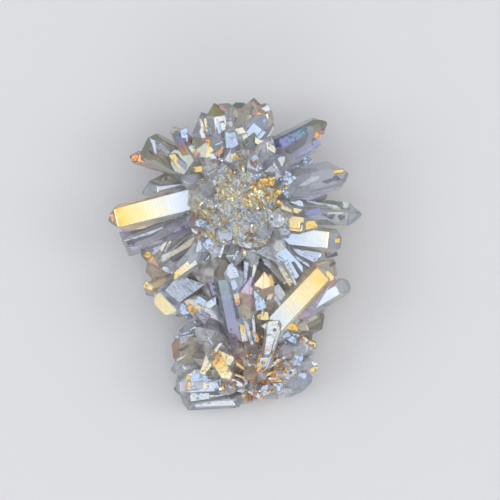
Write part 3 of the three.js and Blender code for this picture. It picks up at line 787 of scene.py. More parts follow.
def grown_together(name, base, parts):
    """The union of a base object and many bodies, with their corner vectors."""
    others = bpy.data.collections.new(name + "_parts")
    for i, arrays in enumerate(batches(parts)):
        piece = mesh_object(f"{name}_{i}", *arrays[:2], growth=arrays[2], trait=arrays[3])
        bpy.context.scene.collection.objects.unlink(piece)
        others.objects.link(piece)
    union = base.modifiers.new("union", "BOOLEAN")
    union.operation, union.operand_type, union.solver = "UNION", "COLLECTION", "MANIFOLD"
    union.collection = others
    view = bpy.context.evaluated_depsgraph_get()
    mesh = bpy.data.meshes.new_from_object(base.evaluated_get(view))
    count = len(others.objects)
    for piece in [base, *others.objects]:
        bpy.data.objects.remove(piece)
    bpy.data.collections.remove(others)
    print(name, "meshes joined:", count, "triangles:", len(mesh.polygons))
    return placed(name, mesh)


base = mesh_object("base", *lumps[0][:2], growth=lumps[0][2], trait=lumps[0][3])
stone = grown_together("stone", base, [*lumps[1:], *parts])

# %% [markdown]
# ## Flashes
# Some two hundred small faces and streaks lie nearly level among the long points, each on the end or
# the back of some short crystal. Most throw back the light, and a few are painted near black, a
# painted dark reflection that stands in for a face that mirrors nothing. Only their place seen from
# above is given: each is laid on whatever is highest under it, when the crusts that follow are on the
# stone.

# %% Table of level faces
PAINTED_DARK_STREAK = (.9, .9, -.1)  # orders and shine of a painted dark streak: a shine below zero paints the body near black, a painted dark reflection
FLASHES = [
    # from x, y; to x, y; width; film order at both ends; shine, below zero for a painted dark streak;
    # grooves and lift, if any
    # round the top of the dome
    (-7.1, 28.4, -5.1, 22.1, 2.3, .64, .08, 1), (-1.1, 30.4, -.8, 26.6, 2.8, .1, .1, 1),
    (-.8, 30.4, 2.2, 30.9, 1.3, .36, .36, 1), (1.9, 30.9, 2.7, 28.6, 1.2, .36, .36, 1),
    (5.2, 28.5, 10.2, 25.7, 1.2, .36, .3, 1), (6.7, 20.0, 2.9, 19.0, 1.2, .12, .15, 1),
    (3.4, 19.4, 1.4, 19.1, .9, .38, .36, .9), (9.9, 18.4, 3.7, 17.9, 1.4, .52, .58, 1),
    (5.7, 11.4, 3.2, 16.1, .8, .33, .42, .9), (3.4, 11.9, 2.7, 15.9, .8, .55, .6, .9),
    (6.2, 13.6, 4.4, 17.1, .8, .42, .52, .9), (7.7, 12.4, 5.4, 16.4, .7, .3, .36, .9),
    (4.7, 10.9, 3.4, 14.1, .7, .3, .5, .9), (11.4, 16.4, 9.7, 14.6, 1.2, .54, .5, 1),
    (8.7, 14.6, 6.9, 13.1, 1.1, .54, .52, 1), (11.9, 12.9, 8.7, 13.6, 1.1, .56, .5, .8),
    (13.9, 10.9, 10.9, 12.4, .8, .5, .3, .8), (6.7, 12.6, 9.9, 9.1, .8, .3, .3, .9),
    (-9.6, 8.4, -5.3, 7.1, 1.8, .1, .12, 1), (-10.6, 6.6, -9.1, 5.6, 1.4, .36, .33, 1),
    (-6.6, 4.9, -8.3, 5.6, 1.2, .34, .33, 1), (-7.8, 1.9, -4.3, 4.9, 2.0, .1, .15, 1),
    (-10.2, 21.4, -7.6, 21.6, 1.4, .54, .5, 1), (-3.1, 27.1, -4.6, 24.4, 1.3, .54, .72, .8),
    (-2.3, 23.9, -4.1, 23.6, .9, .3, .3, 1), (.7, 24.4, -1.3, 23.6, 1.2, .54, .5, 1),
    (5.2, 21.9, 3.7, 23.4, 1.3, .72, .72, .5), (6.7, 21.9, 5.4, 21.4, .9, .27, .27, 1),
    (-11.1, 27.1, -9.1, 24.9, 1.3, .06, .84, .8), (12.7, 20.9, 13.4, 17.4, 2.0, .1, .12, 1),
    (11.4, 16.9, 13.2, 14.6, 1.1, .1, .1, 1), (14.9, 19.6, 13.9, 19.1, .9, .27, .27, 1),
    # along the flank on the left
    (-22.6, .6, -20.6, -.6, 1.6, .54, .58, 1), (-21.8, -.6, -18.6, -2.6, 1.6, .5, .74, .6),
    (-18.8, 1.1, -16.8, 4.4, .6, .33, .33, .9), (-17.8, .9, -16.1, 3.9, .5, .33, .33, .9),
    (-20.8, 1.1, -18.6, 2.6, 1.6, .06, .08, .7), (-15.3, 6.0, -11.1, 7.9, .8, .84, .86, .8),
    (-16.3, -.4, -8.1, 4.6, 1.3, .38, .45, .5), (-7.6, 5.1, -9.8, 3.9, 1.1, .63, .63, .4),
    (-15.1, -5.1, -9.6, -1.1, 1.6, .52, .3, 1), (-6.8, -2.1, -5.6, -1.4, 1.1, .52, .52, 1),
    (-5.8, -1.4, -3.6, -.3, .6, .27, .27, 1), (-3.8, -.4, -2.6, 3.1, .5, .27, .27, 1),
    (-18.1, -3.1, -15.6, -4.1, 1.1, .1, .1, 1), (-22.6, -7.1, -20.6, -8.6, 1.3, .5, .42, .9),
    (-22.3, -9.4, -20.3, -9.9, 1.1, .84, .84, .6), (-6.1, -3.9, -5.6, -7.1, .8, .2, .2, 1),
    (-10.1, -7.9, -8.8, -5.1, .9, .2, .2, 1), (-14.6, -12.1, -11.1, -14.9, 2.0, .1, .1, 1),
    (-11.8, -12.6, -9.8, -14.1, 1.3, .6, .58, 1), (-10.1, -10.6, -7.3, -11.9, 1.6, .1, .12, 1),
    (-7.8, -13.1, -5.1, -11.1, 1.6, .27, .2, 1), (-9.8, -13.4, -7.1, -16.1, 2.0, .84, .84, .4),
    (-14.1, -21.4, -10.8, -20.4, 2.0, .06, .06, .6),
    # among the points at the top
    (-4.6, 33.9, -3.6, 30.4, 1.1, .1, .15, 1), (-8.6, 33.9, -7.8, 30.6, .6, .36, .36, .9),
    (-7.6, 33.9, -6.8, 30.6, .5, .4, .4, .9), (-4.1, 37.1, -2.3, 35.6, 1.3, .74, .72, .6),
    (-.3, 36.4, 1.2, 34.1, 1.3, 1.3, 1.25, .7), (7.2, 38.9, 5.4, 37.4, 1.6, .64, .72, .8),
    (8.7, 36.9, 6.4, 35.9, 1.3, .33, .2, 1), (7.2, 31.1, 5.2, 28.9, 1.6, .12, .15, 1),
    (-12.8, 31.4, -12.3, 27.9, 1.6, .1, .1, 1), (-15.6, 31.1, -12.8, 30.1, 1.6, 1.3, 1.2, .4),
    (-15.6, 25.1, -12.3, 19.9, .8, .52, .36, .9), (-14.3, 23.6, -10.6, 20.6, 1.1, .93, 1.0, .6),
    # among the long points on the right
    (27.2, 21.0, 22.9, 20.5, .5, .5, .6, 1), (21.7, 15.4, 16.9, 13.9, .9, .84, .84, .6),
    (26.2, 3.9, 24.4, 3.4, 1.1, .58, .56, 1), (21.4, 11.1, 16.9, 10.4, 1.1, .93, .9, .8),
    (23.9, 12.4, 26.4, 11.1, 1.1, 1.25, 1.3, .6), (11.2, -3.1, 14.4, -7.4, 1.1, .36, .42, .7),
    # on the flank over the foot
    (5.9, -15.1, 8.2, -15.1, 2.0, .5, .46, 1), (4.7, -18.9, 5.4, -21.4, 1.2, .6, .6, 1),
    (11.9, -17.3, 15.4, -17.9, 1.4, .52, .58, 1), (5.4, -7.6, 6.2, -13.4, 2.3, .12, .1, 1),
    (9.2, -8.6, 8.2, -11.1, 1.1, .84, .15, .8), (1.7, 1.6, 2.4, -.6, 1.3, .84, .1, .8),
    (10.4, .9, 10.9, -2.6, .8, .27, .27, .9), (-1.1, -2.1, .9, -5.1, .8, .15, .15, 1),
    (.7, -14.1, 2.9, -22.4, .7, .78, .2, .8),
    # the foot
    (-1.8, -30.1, -5.1, -25.1, 2.8, .4, .6, 1, 0, .5),
    (-.3, -26.4, -4.1, -25.1, 2.5, .3, .5, 1, 0, .4), (-8.6, -29.6, -5.8, -22.9, .8, .42, .33, 1),
    (-7.3, -28.9, -5.1, -25.4, .7, .42, .4, 1), (-12.3, -30.6, -11.1, -30.9, 1.1, .54, .54, 1),
    (-11.3, -30.6, -7.1, -30.1, 2.0, .12, .12, 1), (-8.1, -31.4, -4.8, -31.9, 1.1, .15, .15, .9),
    (-12.3, -32.6, -3.6, -32.6, 1.7, .62, .1, 1), (-12.1, -33.9, -4.8, -33.6, .8, .2, .2, 1, 0, .3),
    (-11.8, -34.9, -3.3, -34.4, .4, .2, .2, -.1, 0, .3),
    (-11.8, -35.9, -1.8, -34.9, .7, .3, .2, .9, 0, .3),
    (-11.3, -36.9, -.3, -35.6, .4, .2, .2, -.1, 0, .3),
    (-10.8, -37.9, .7, -36.4, .6, .2, .3, .9, 0, .3), (11.4, -20.1, 13.7, -19.4, 1.3, .1, .1, 1),
    (13.9, -20.9, 15.9, -19.9, 1.6, .15, .2, 1), (16.2, -20.4, 18.2, -21.6, 1.1, .84, .1, .9),
    (18.2, -21.9, 20.2, -22.6, 1.2, .54, .52, 1), (18.4, -28.5, 20.4, -28.6, 1.3, .54, .5, 1),
    (18.9, -26.9, 20.2, -27.4, .9, .3, .3, 1), (13.7, -26.4, 16.7, -25.6, 1.6, .1, .1, 1),
    (14.2, -28.4, 15.4, -26.6, 1.3, .12, .12, 1), (15.7, -29.1, 17.7, -30.6, 1.3, .1, .1, 1),
    (12.4, -30.6, 14.9, -29.1, 1.3, .1, .1, 1), (11.7, -33.1, 9.2, -32.1, 1.8, .1, .1, 1),
    (6.7, -33.4, 9.2, -32.6, 1.3, .1, .1, 1), (5.7, -35.1, 8.2, -34.1, 1.3, .15, .15, 1),
    (2.7, -32.9, 1.2, -34.1, 1.3, .1, .1, 1), (1.2, -30.4, 2.9, -32.1, 1.3, .1, .1, 1),
    # on the long points
    (18.9, 31.6, 10.9, 26.9, 1.6, 1.08, .88, .8), (19.2, 29.4, 20.7, 30.4, 1.1, .64, .6, 1),
    (20.7, 30.4, 21.9, 30.9, .7, .72, .72, .9), (20.9, 28.4, 13.9, 23.9, 1.6, .92, .84, .7),
    (22.4, -7.6, 16.4, -15.9, 1.8, .84, .8, .5, 1), (22.2, -4.1, 24.2, -5.9, 1.6, .5, .45, 1),
    (21.2, -3.6, 22.4, -4.1, 1.1, 1.1, 1.1, .6), (-17.6, -11.4, -11.6, -6.6, 5.3, .2, .18, .8, 1, .4),
    (-26.1, 24.4, -23.6, 24.6, 1.6, .6, .55, 1), (-1.1, -5.1, .2, -8.4, 1.3, .1, .12, .9),
    (-.1, -8.6, .9, -12.4, 1.3, .1, .84, .8), (-5.8, -6.6, -2.6, -17.4, .6, .84, .84, .6),
    # thin bright edges
    (-20.3, 28.6, -19.3, 23.4, .3, .2, .2, .9), (17.7, 10.4, 28.7, 10.6, .3, .2, .25, .6),
    (-1.3, -2.1, .7, -4.9, .4, .2, .2, 1), (-18.8, -1.6, -8.1, 4.4, .3, .3, .3, .5),
    (-28.6, 5.9, -17.6, 8.4, .3, .84, .2, .5), (-5.6, -25.1, -3.3, -21.4, .4, .42, .3, .9),
    (9.9, -16.1, 7.9, -24.9, 1.8, .3, .26, 1, 0, 1),
    # white glints of the foot
    (14.7, -24.6, 16.7, -27.6, 1.3, .14, .1, 1), (12.7, -29.6, 15.2, -28.9, 1.1, .2, .2, 1),
    (6.7, -32.1, 11.9, -33.1, 1.1, .15, .2, 1), (8.2, -30.9, 11.2, -30.4, .8, .3, .3, 1),
    (-1.8, -31.1, 1.9, -32.4, 1.1, .2, .3, 1), (3.2, -33.9, 6.7, -35.4, .8, .2, .15, 1),
    (16.2, -21.4, 18.4, -23.6, 1.1, .84, .12, .7), (11.9, -19.6, 15.4, -21.4, 1.3, .12, .1, 1),
    # fine bright edges between the two hearts
    (.7, 1.4, -.6, -1.6, .3, .3, .2, .9), (2.9, -1.6, 2.2, -11.1, .3, .15, .15, .8),
    (5.2, -1.1, 3.9, -7.1, .3, .3, .3, .9), (7.2, -1.6, 9.2, -3.6, .3, .15, .15, .9),
    (12.2, -1.6, 16.2, -9.6, .3, .2, .2, .8), (3.7, -11.1, 5.2, -22.4, .3, .15, .2, .8),
    (6.7, -12.1, 6.7, -15.6, .3, .4, .3, .9), (1.9, -13.1, 4.4, -23.6, .3, .15, .15, .8),
    (14.2, .1, 19.2, -3.1, .3, .15, .15, .9), (15.2, 1.4, 20.7, -1.6, .3, .2, .2, .9),
    (8.2, 1.4, 12.2, -1.6, .3, .15, .15, .9), (-5.1, 1.4, -7.6, -1.6, .3, .3, .2, .9),
    # rusty needles round the middle of the foot
    (5.2, -29.1, 8.4, -24.6, .5, .6, .5, .9), (6.4, -29.1, 11.4, -25.6, .5, .6, .45, .9),
    (6.9, -30.1, 13.9, -28.1, .5, .5, .6, .9), (5.4, -28.1, 6.4, -23.9, .4, .6, .5, .9),
    (3.7, -28.1, 2.7, -24.4, .4, .3, .5, .9), (2.7, -28.9, -.6, -25.9, .5, .6, .4, .8),
    (6.9, -31.1, 12.2, -31.4, .4, .6, .5, .9), (5.2, -31.9, 8.2, -34.4, .5, .3, .5, .9),
    (3.2, -31.6, 1.2, -33.9, .4, .6, .5, .8), (2.2, -30.4, -2.1, -29.4, .4, .5, .3, .8),
    (7.7, -28.6, 13.9, -24.4, .4, .3, .2, .9), (8.4, -29.9, 15.2, -29.4, .4, .2, .5, .9),
    (8.2, -4.9, 9.2, -7.1, 1.3, .6, .56, .9),
    # painted dark streaks: near-black colour painted where a face would mirror nothing
    (18.7, 29.6, 12.7, 25.4, 1.1, *PAINTED_DARK_STREAK, 0, .3), (27.4, 10.1, 25.7, 9.4, .9, *PAINTED_DARK_STREAK),
    (24.7, 10.6, 23.7, 9.4, .8, *PAINTED_DARK_STREAK), (21.7, 10.6, 22.7, 10.1, .6, *PAINTED_DARK_STREAK),
    (-16.3, -1.4, -8.3, 3.6, .4, *PAINTED_DARK_STREAK), (-.6, -9.4, .9, -16.1, .3, *PAINTED_DARK_STREAK),
    (14.4, -1.6, 16.7, -5.6, .6, *PAINTED_DARK_STREAK), (24.7, -1.6, 23.2, -3.1, .6, *PAINTED_DARK_STREAK),
    (6.7, -33.6, 4.7, -31.6, .4, *PAINTED_DARK_STREAK), (-1.8, -35.6, 3.2, -33.9, .4, *PAINTED_DARK_STREAK),
    # an oval face, a pale blue one and an orange spot
    (16.9, 7.4, 20.2, 7.9, 1.8, .56, .5, 1, 0, .3), (15.9, 22.4, 19.2, 24.4, 1.8, .1, .1, .9),
    (-30.8, 10.4, -30.3, 8.6, .9, .62, .6, .9), (13.9, 14.1, 16.9, 12.6, 1.3, .3, .2, .9),
    (13.4, 11.6, 15.9, 10.9, .9, .5, .4, .9),
    # streaks along the clear points; the dark ones are painted dark reflections
    (25.2, 19.6, 21.9, 17.9, .7, *PAINTED_DARK_STREAK), (20.9, 19.9, 16.4, 17.4, .8, .12, .3, .35),
    (26.4, 18.9, 24.4, 16.4, .4, .84, .84, .4), (-27.1, 2.9, -20.8, 4.9, .4, *PAINTED_DARK_STREAK),
    (-26.1, 1.4, -17.3, 4.1, .8, .84, .9, .35), (-27.8, 3.6, -16.3, 6.9, .3, .2, .2, .6),
    (17.4, 13.1, 26.9, 12.1, .3, .2, .2, .6), (-19.3, 27.4, -15.3, 24.1, 1.1, .93, 1.0, .35),
    (-20.8, 25.9, -17.1, 22.6, .4, *PAINTED_DARK_STREAK),
    # glints, and painted dark edges that stand in for shade, left of the foot and between its long points
    (-14.8, -20.6, -11.3, -19.1, .6, .12, .12, .8), (-13.8, -23.6, -10.6, -21.9, .3, *PAINTED_DARK_STREAK),
    (-14.8, -26.4, -11.6, -24.6, .4, .3, .2, .7), (-11.3, -18.6, -7.8, -16.9, .3, .2, .2, .8),
    (-9.6, -17.9, -6.1, -15.9, .4, *PAINTED_DARK_STREAK), (-7.3, -19.6, -5.6, -22.4, .3, .2, .2, .8),
    (-12.1, -16.6, -8.8, -15.1, .6, .84, .84, .4), (-5.6, -15.1, -3.6, -18.4, .3, *PAINTED_DARK_STREAK),
    (2.7, -15.6, 3.7, -21.1, .6, .84, .84, .35), (5.7, -11.1, 6.7, -17.6, .3, *PAINTED_DARK_STREAK),
    (9.7, -10.1, 11.9, -13.4, .4, .15, .15, .7), (1.2, -1.6, 2.7, -4.6, .4, *PAINTED_DARK_STREAK),
    (8.2, -.6, 10.7, -3.1, .4, *PAINTED_DARK_STREAK),
]
SLAB_DEPTH = 0.9  # mm, from the top plane of a flash to its bottom
CROWN = (1, 13, 12)  # x, y and radius of the place where everything glitters most
PAINTED_DARK_BODY = -0.9  # the milk of a painted dark streak: below zero, it paints the body near black
print("level faces:", len(FLASHES))

# %% [markdown]
# A flash is a body behind planes, like a crystal. Its top is level to within eight degrees, so that
# it mirrors the light overhead. Its sides slope out from an uneven outline, so that it seems grown.


# %% One level face
def heights(tree, xs, ys):
    """The height of the stone in millimetres below each of these places: rays fall from 100 mm."""
    down = Vector((0, 0, -1))
    hits = [tree.ray_cast(Vector((x * MM, y * MM, 0.1)), down)[0] for x, y in zip(xs, ys)]
    return np.array([0.0 if hit is None else hit.z / MM for hit in hits])


def slab(tree, row, rng):
    """One flash: the body behind a nearly level top plane, six sides that slope outwards round an
    uneven outline, and a bottom plane. Its top lies at about the height of what it crosses: the mean
    of the third and fourth of five heights in rising order, and a little more."""
    x0, y0, x1, y1, width, first, last, shine = row[:8]
    grooves_and_shade, lift = (*row[8:], 0.0, 0.0)[:2]
    along = np.linspace(0.1, 0.9, 5)
    z = np.sort(heights(tree, x0 + (x1 - x0) * along, y0 + (y1 - y0) * along))[2:4].mean() + 0.15 + lift
    length = math.hypot(x1 - x0, y1 - y0)
    way = np.array(((x1 - x0) / length, (y1 - y0) / length, 0))
    across = np.array((-way[1], way[0], 0))
    turn = np.array((0, 90, 180, 270)) + rng.uniform(-1, 1, 4) * (34, 6, 34, 6)
    corners = np.array((1, 3, 5, 7))[rng.permutation(4)[:2]] * math.atan2(width, length)
    turn = np.append(turn * DEGREE, corners + rng.uniform(-0.2, 0.2, 2))
    reach = np.abs(length * np.cos(turn)) / 2 + np.abs(width * np.sin(turn)) / 2
    reach *= np.append(rng.uniform(0.85, 1.0, 4), rng.uniform(0.68, 0.85, 2))
    rise = rng.uniform(3, 24, 6) * DEGREE
    sides = (np.cos(turn)[:, None] * way + np.sin(turn)[:, None] * across) * np.cos(rise)[:, None]
    sides[:, 2] = np.sin(rise)
    top = unit(np.array((rng.uniform(-0.10, 0.10), rng.uniform(-0.10, 0.10), 1)))
    normals = np.concatenate([sides, [top], [[0, 0, -1.0]]])
    middle = np.array(((x0 + x1) / 2, (y0 + y1) / 2, z))
    distances = np.concatenate([reach * np.cos(rise), [0, SLAB_DEPTH + lift]]) + normals @ middle
    vertices, faces = solid(normals, distances)
    at = vertices[faces]
    share = ((at - middle) @ way) / length + 0.5
    level = facing(at)[:, 2] > 0.9
    crowned = math.hypot(x0 - CROWN[0], y0 - CROWN[1]) < CROWN[2]
    growth = corner_vectors(faces, first + (last - first) * share,
                            np.where(level, abs(shine), 0.25)[:, None], share * length * (1 + grooves_and_shade))
    return vertices, faces, growth, corner_vectors(
        faces, grooves_and_shade, 1.0 if crowned else 0.35, PAINTED_DARK_BODY if shine < 0 else 0.0)


# %% [markdown]
# Some points are snapped across and show the hackly fracture of quartz: level plateaus with steep
# little steps between them, like crumpled foil. A patch is a disc of such a surface over the stone.
# Its height is the smoothed height of the stone plus ripples, and is then rounded to even steps.

# %% Hackly fracture
PATCHES = [
    # middle x, y; half width, length; rise above the stone; step; film order, shine; milk
    (1.0, 13.2, 10.5, 10.5, 1.4, .4, .28, .75, 1.0),
    (1.2, -7.5, 9.0, 9.5, -1.6, .5, .25, .4, .7),
    (3.4, -27.0, 9.5, 8.0, -1.0, .5, .36, 1.0, .5),
    (-8.6, 12.6, 3.8, 3.2, .3, .4, .22, 1.0, .4),
    (-8.9, 10.4, 3.4, 2.0, .4, .4, .4, .9, .4),
    (-2.1, 15.8, 4.0, 3.0, .3, .4, .36, .8, .4),
    (6.6, 15.2, 5.0, 4.0, .3, .4, .41, .9, .4),
    (11.9, 8.2, 3.4, 4.0, .3, .4, .18, 1.0, .5),
    (12.4, 16.0, 2.0, 3.2, .4, .5, .15, .9, .3),
    (3.4, 25.6, 2.8, 2.4, .3, .4, .3, .6, .5),
    (5.0, 9.2, 2.4, 3.0, .4, .4, .16, .8, .5),
    (-1.2, -31.8, 3.0, 1.6, .6, .3, .24, 1.0, .2),
    (9.4, -32.6, 5.6, 2.6, .8, .4, .22, 1.0, .2),
    (13.0, -27.0, 3.6, 3.6, .6, .4, .25, 1.0, .2),
    (2.8, -34.8, 3.6, 1.4, .6, .3, .25, 1.0, .2),
]
BROAD = 3  # the first patches are broad, and the others lie on them
RING_WIDTH = 0.21  # mm
SPOKES_PER_MM = 13
LOWEST = 0.3  # mm, the underside of a patch stays above the floor
print("patches:", len(PATCHES))


# %% Ripples and a smooth floor
def ripples(x, y, longest, shortest, rng):
    """A sum of twelve waves that run every way, with lengths between these two, scaled to about 1."""
    total = 0
    for _ in range(12):
        wave, way, start = rng.uniform(shortest, longest), rng.uniform(0, 2 * math.pi), rng.uniform(0, 7)
        total = total + np.sin((x * math.cos(way) + y * math.sin(way)) * 2 * math.pi / wave + start)
    return total / 3.5


def smooth_floor(form, ground):
    """The quadratic surface that lies under most of these heights: a least-squares fit, repeated
    with less say for the places that stick out above it."""
    weight = np.ones(len(ground))
    for _ in range(4):
        w = np.sqrt(weight)[:, None]
        fit = form @ np.linalg.lstsq(form * w, ground * w[:, 0], rcond=None)[0]
        weight = np.where(ground > fit, 0.15, 1.0)
    return fit


wavy = ripples(*np.mgrid[0:9:0.1, 0:9:0.1], 4, 1, np.random.default_rng(1))
print("ripples run from", round(wavy.min(), 1), "to", round(wavy.max(), 1))


# %% One patch of fracture
def hackly(tree, patch, rng):
    """A closed disc with a stepped top: vertices, triangles, growth and trait. The height, in steps,
    is rounded down; the last quarter of each step is the slope up to the next. The outermost ring
    dips into the stone. Where the stone ends, the ground is taken 3 mm under the smooth floor."""
    cx, cy, hx, hy, rise, step, order, shine, milk = patch
    rings, spokes = int(hx / RING_WIDTH) + 4, int(hx * SPOKES_PER_MM) + 20
    radius = np.linspace(0, 1, rings + 1)[1:, None]
    turn = np.linspace(0, 2 * math.pi, spokes, endpoint=False)[None]
    edge = 1 + 0.22 * ripples(3 * np.cos(turn), 3 * np.sin(turn), 6, 2.5, rng)
    u = np.append((radius * np.cos(turn) * edge).ravel(), 0)
    v = np.append((radius * np.sin(turn) * edge).ravel(), 0)
    x, y = cx + hx * u, cy + hy * v
    form = np.stack([np.ones_like(u), u, v, u * u, v * v, u * v], axis=1)
    ground = heights(tree, x, y)
    under = smooth_floor(form, ground)
    ground = np.maximum(ground, under - 3)
    level = (under + rise) / step + 0.9 * ripples(x, y, 4, 0.9, rng)
    whole = np.floor(level)
    slope = np.clip((level - whole - 0.75) * 4, 0, 1)
    top = (whole + slope) * step + 0.02 * ripples(x, y, 1.2, 0.5, rng)
    outer = np.arange(len(u) - 1) >= (rings - 1) * spokes
    top[:-1][outer] = np.minimum(top[:-1][outer], ground[:-1][outer]) - 0.5
    top = np.maximum(top, 2 * LOWEST)
    low = max(top.min() - 1.5, LOWEST)
    rim = np.stack([x[:-1][outer], y[:-1][outer], np.full(spokes, low)], axis=1)
    vertices = np.concatenate([np.stack([x, y, top], axis=1), rim, [[cx, cy, low]]])
    a = np.arange(spokes)
    b = (a + 1) % spokes
    centre, last = np.full(spokes, len(u) - 1), np.full(spokes, len(vertices) - 1)
    starts = [k * spokes for k in range(rings)] + [len(u)]
    faces = [np.stack([centre, a, b], axis=1)]
    for p, q in zip(starts[:-1], starts[1:]):
        faces += [np.stack([p + a, q + a, q + b], axis=1), np.stack([p + a, q + b, p + b], axis=1)]
    faces = np.concatenate([*faces, np.stack([starts[-1] + a, last, starts[-1] + b], axis=1)])
    at = vertices[faces]
    steep = (facing(at)[:, 2] < 0.8)[:, None]
    order = order + 0.10 * ripples(*at[..., :2].transpose(2, 0, 1), 4, 1.5, rng) + 0.1 * steep
    return (vertices, faces, corner_vectors(faces, order, shine, 6),
            corner_vectors(faces, 0, 1, milk * ~steep))


# %% [markdown]
# Fine needles fan out from the middle of the foot, between the stout points.

# %% Spray of needles
SPRAY_HEART = (4.3, -30.0, 12.5)
NEEDLES = 110


def spray(rng):
    """Rows for thin points that leave the heart of the foot in every direction above the level.
    Those that run towards the bottom edge are shorter."""
    for _ in range(NEEDLES):
        way, rise = rng.uniform(0, 2 * math.pi), rng.uniform(5, 52) * DEGREE
        out = np.array((math.cos(rise) * math.cos(way), math.cos(rise) * math.sin(way), math.sin(rise)))
        length = rng.uniform(6.5, 10.5) * (1 if out[1] > -0.4 else 0.75)
        film = (rng.choice((0.15, 0.3, 0.45, 0.6, 0.63)), 0.6, rng.uniform(0.6, 1.0))
        yield (tuple(np.array(SPRAY_HEART) + out * length), SPRAY_HEART, rng.uniform(0.7, 1.5), 0.7,
               rng.uniform(-30, 30), (rng.uniform(-180, 180), 0.4, 0.3, 0), film)


print("needles:", NEEDLES)

# %% [markdown]
# The crowded top and the foot are covered with a crust of small crystals, a druse, that point every
# way and glitter. They are sown on the stone's own surface: a ray comes down at a random place, and a
# small point grows where it lands, leaning between the surface's own direction and the way out of
# the heart.

# %% Fields of druse
DRUSE_FIELDS = [
    # middle x, y; half width, length; how many; size; heart the crystals point away from; film
    ((1.0, 15.5), (13.0, 12.5), 60, (0.4, 1.2), (0.7, 13, 12), (0.35, 0.7)),
    ((5.5, -27.0), (12.5, 9.5), 50, (0.4, 1.2), (3.0, -27, 2), (0.35, 0.7)),
    ((1.0, -8.0), (12.0, 14.0), 16, (0.5, 1.2), (2.0, -14, 4), (0.3, 0.5)),
]


def sown(tree, field, rng):
    """Small points on the stone: rays fall at even random places in an ellipse, and each crystal
    stands where one lands, its root a little below the surface."""
    (cx, cy), (hx, hy), count, sizes, heart, (order, shine) = field
    radius, turn = np.sqrt(rng.uniform(0, 1, count)), rng.uniform(0, 2 * math.pi, count)
    xs, ys = cx + hx * radius * np.cos(turn), cy + hy * radius * np.sin(turn)
    for x, y in zip(xs, ys):
        place, normal, _, _ = tree.ray_cast(Vector((x * MM, y * MM, 0.1)), Vector((0, 0, -1)))
        wild, size = unit(rng.normal(size=3)), rng.uniform(*sizes)
        long, film = rng.uniform(0.9, 2.2), rng.normal(0, 0.2, 2)
        if place is None or normal.z < 0.1:
            continue
        place = np.array(place) / MM
        out = unit(unit(place - np.array(heart)) + 0.7 * np.array(normal) + 0.55 * wild)
        root = place - out * size * 0.6
        tip = place + out * size * long * 0.7
        apex = (rng.uniform(-180, 180), rng.uniform(0, 0.6), rng.uniform(0.1, 0.5), 0)
        yield (tuple(tip), tuple(root), size, 0.9, rng.uniform(-30, 30), apex,
               (order + film[0], order + film[0] - 0.1, max(0.1, shine + film[1])))


print("seeds of druse:", sum(field[2] for field in DRUSE_FIELDS))

# %% [markdown]
# Each layer is laid on the stone as it is by then, so the order counts: broad patches of fracture,
# small patches on them, then druse and needles, and the flashes over everything.


# %% Lay the layers
def tree_of(stone):
    """The stone's faces, sorted so that a ray finds the first one it meets."""
    return BVHTree.FromObject(stone, bpy.context.evaluated_depsgraph_get())


for layer in (PATCHES[:BROAD], PATCHES[BROAD:]):
    tree = tree_of(stone)
    stone = grown_together("stone_hackly", stone, [hackly(tree, patch, rng) for patch in layer])
tree = tree_of(stone)
seeds = [row for field in DRUSE_FIELDS for row in sown(tree, field, rng)]
stone = grown_together("stone_druse", stone, [crystal(row, 0, rng) for row in [*seeds, *spray(rng)]])
tree = tree_of(stone)
stone = grown_together("stone_flashes", stone, [slab(tree, row, rng) for row in FLASHES])


# %% [markdown]
# Here and there the union closes in a pocket. In the real stone that is solid quartz, so only the
# outer skin is kept: the largest set of faces that hang together.

# %% Keep the outer skin
def outer_skin(thing, name):
    """Labels each vertex with the lowest number it can reach along edges, and keeps the faces with
    the commonest label, as a new object."""
    mesh = thing.data
    edges = np.zeros(len(mesh.edges) * 2, np.int32)
    mesh.edges.foreach_get("vertices", edges)
    a, b = edges.reshape(-1, 2).T
    label = np.arange(len(mesh.vertices))
    while True:
        low = np.minimum(label[a], label[b])
        after = label.copy()
        np.minimum.at(after, a, low)
        np.minimum.at(after, b, low)
        after = after[after]
        if (after == label).all():
            break
        label = after
    kept = np.bincount(label).argmax()
    bm = bmesh.new()
    bm.from_mesh(mesh)
    bm.verts.ensure_lookup_table()
    spare = [bm.verts[i] for i in np.nonzero(label != kept)[0]]
    bmesh.ops.delete(bm, geom=spare, context="VERTS")
    clean = bpy.data.meshes.new(name)
    bm.to_mesh(clean)
    bm.free()
    clean.shade_flat()
    bpy.data.objects.remove(thing)
    print(name, "loose vertices dropped:", len(spare), "faces:", len(clean.polygons))
    return placed(name, clean)


stone = outer_skin(stone, "film_coated_quartz")

# %% [markdown]
# ## The finish
# The film is an interference colour. Where it is thinnest it is blue-white, then white, straw, gold,
# orange, magenta, violet, blue and green as it thickens towards a tip. A film lies on glass, so the
# body stays clear and only part of the light is thrown back with that colour: Metallic is the share.
# Growth grooves are fine lines across the prism faces: noise along one line, the distance from the
# tip, which gives them a small bump and a painted shade, a dark colour laid into each groove. Broken
# faces glitter because they are made of flat splinters, each with a slope of its own.

# %% Film-coated quartz
FILM = [
    (0.00, (150, 168, 205)), (0.08, (188, 214, 250)), (0.18, (226, 238, 250)), (0.27, (252, 240, 186)),
    (0.35, (252, 214, 84)), (0.42, (246, 148, 12)), (0.48, (214, 84, 96)), (0.54, (138, 104, 186)),
    (0.62, (70, 104, 200)), (0.70, (36, 140, 160)), (0.78, (104, 140, 76)), (0.88, (168, 160, 62)),
    (0.96, (150, 104, 60)), (1.00, (130, 92, 70)),
]
ORDERS = 1.5  # the film's order at the end of the ramp
CLEAR = srgb(252, 251, 252)
PAINTED_DARK_REFLECTION = (0.03, 0.035, 0.05, 1)  # painted dark reflection: the near-black colour of a face that would mirror the dark side of the room
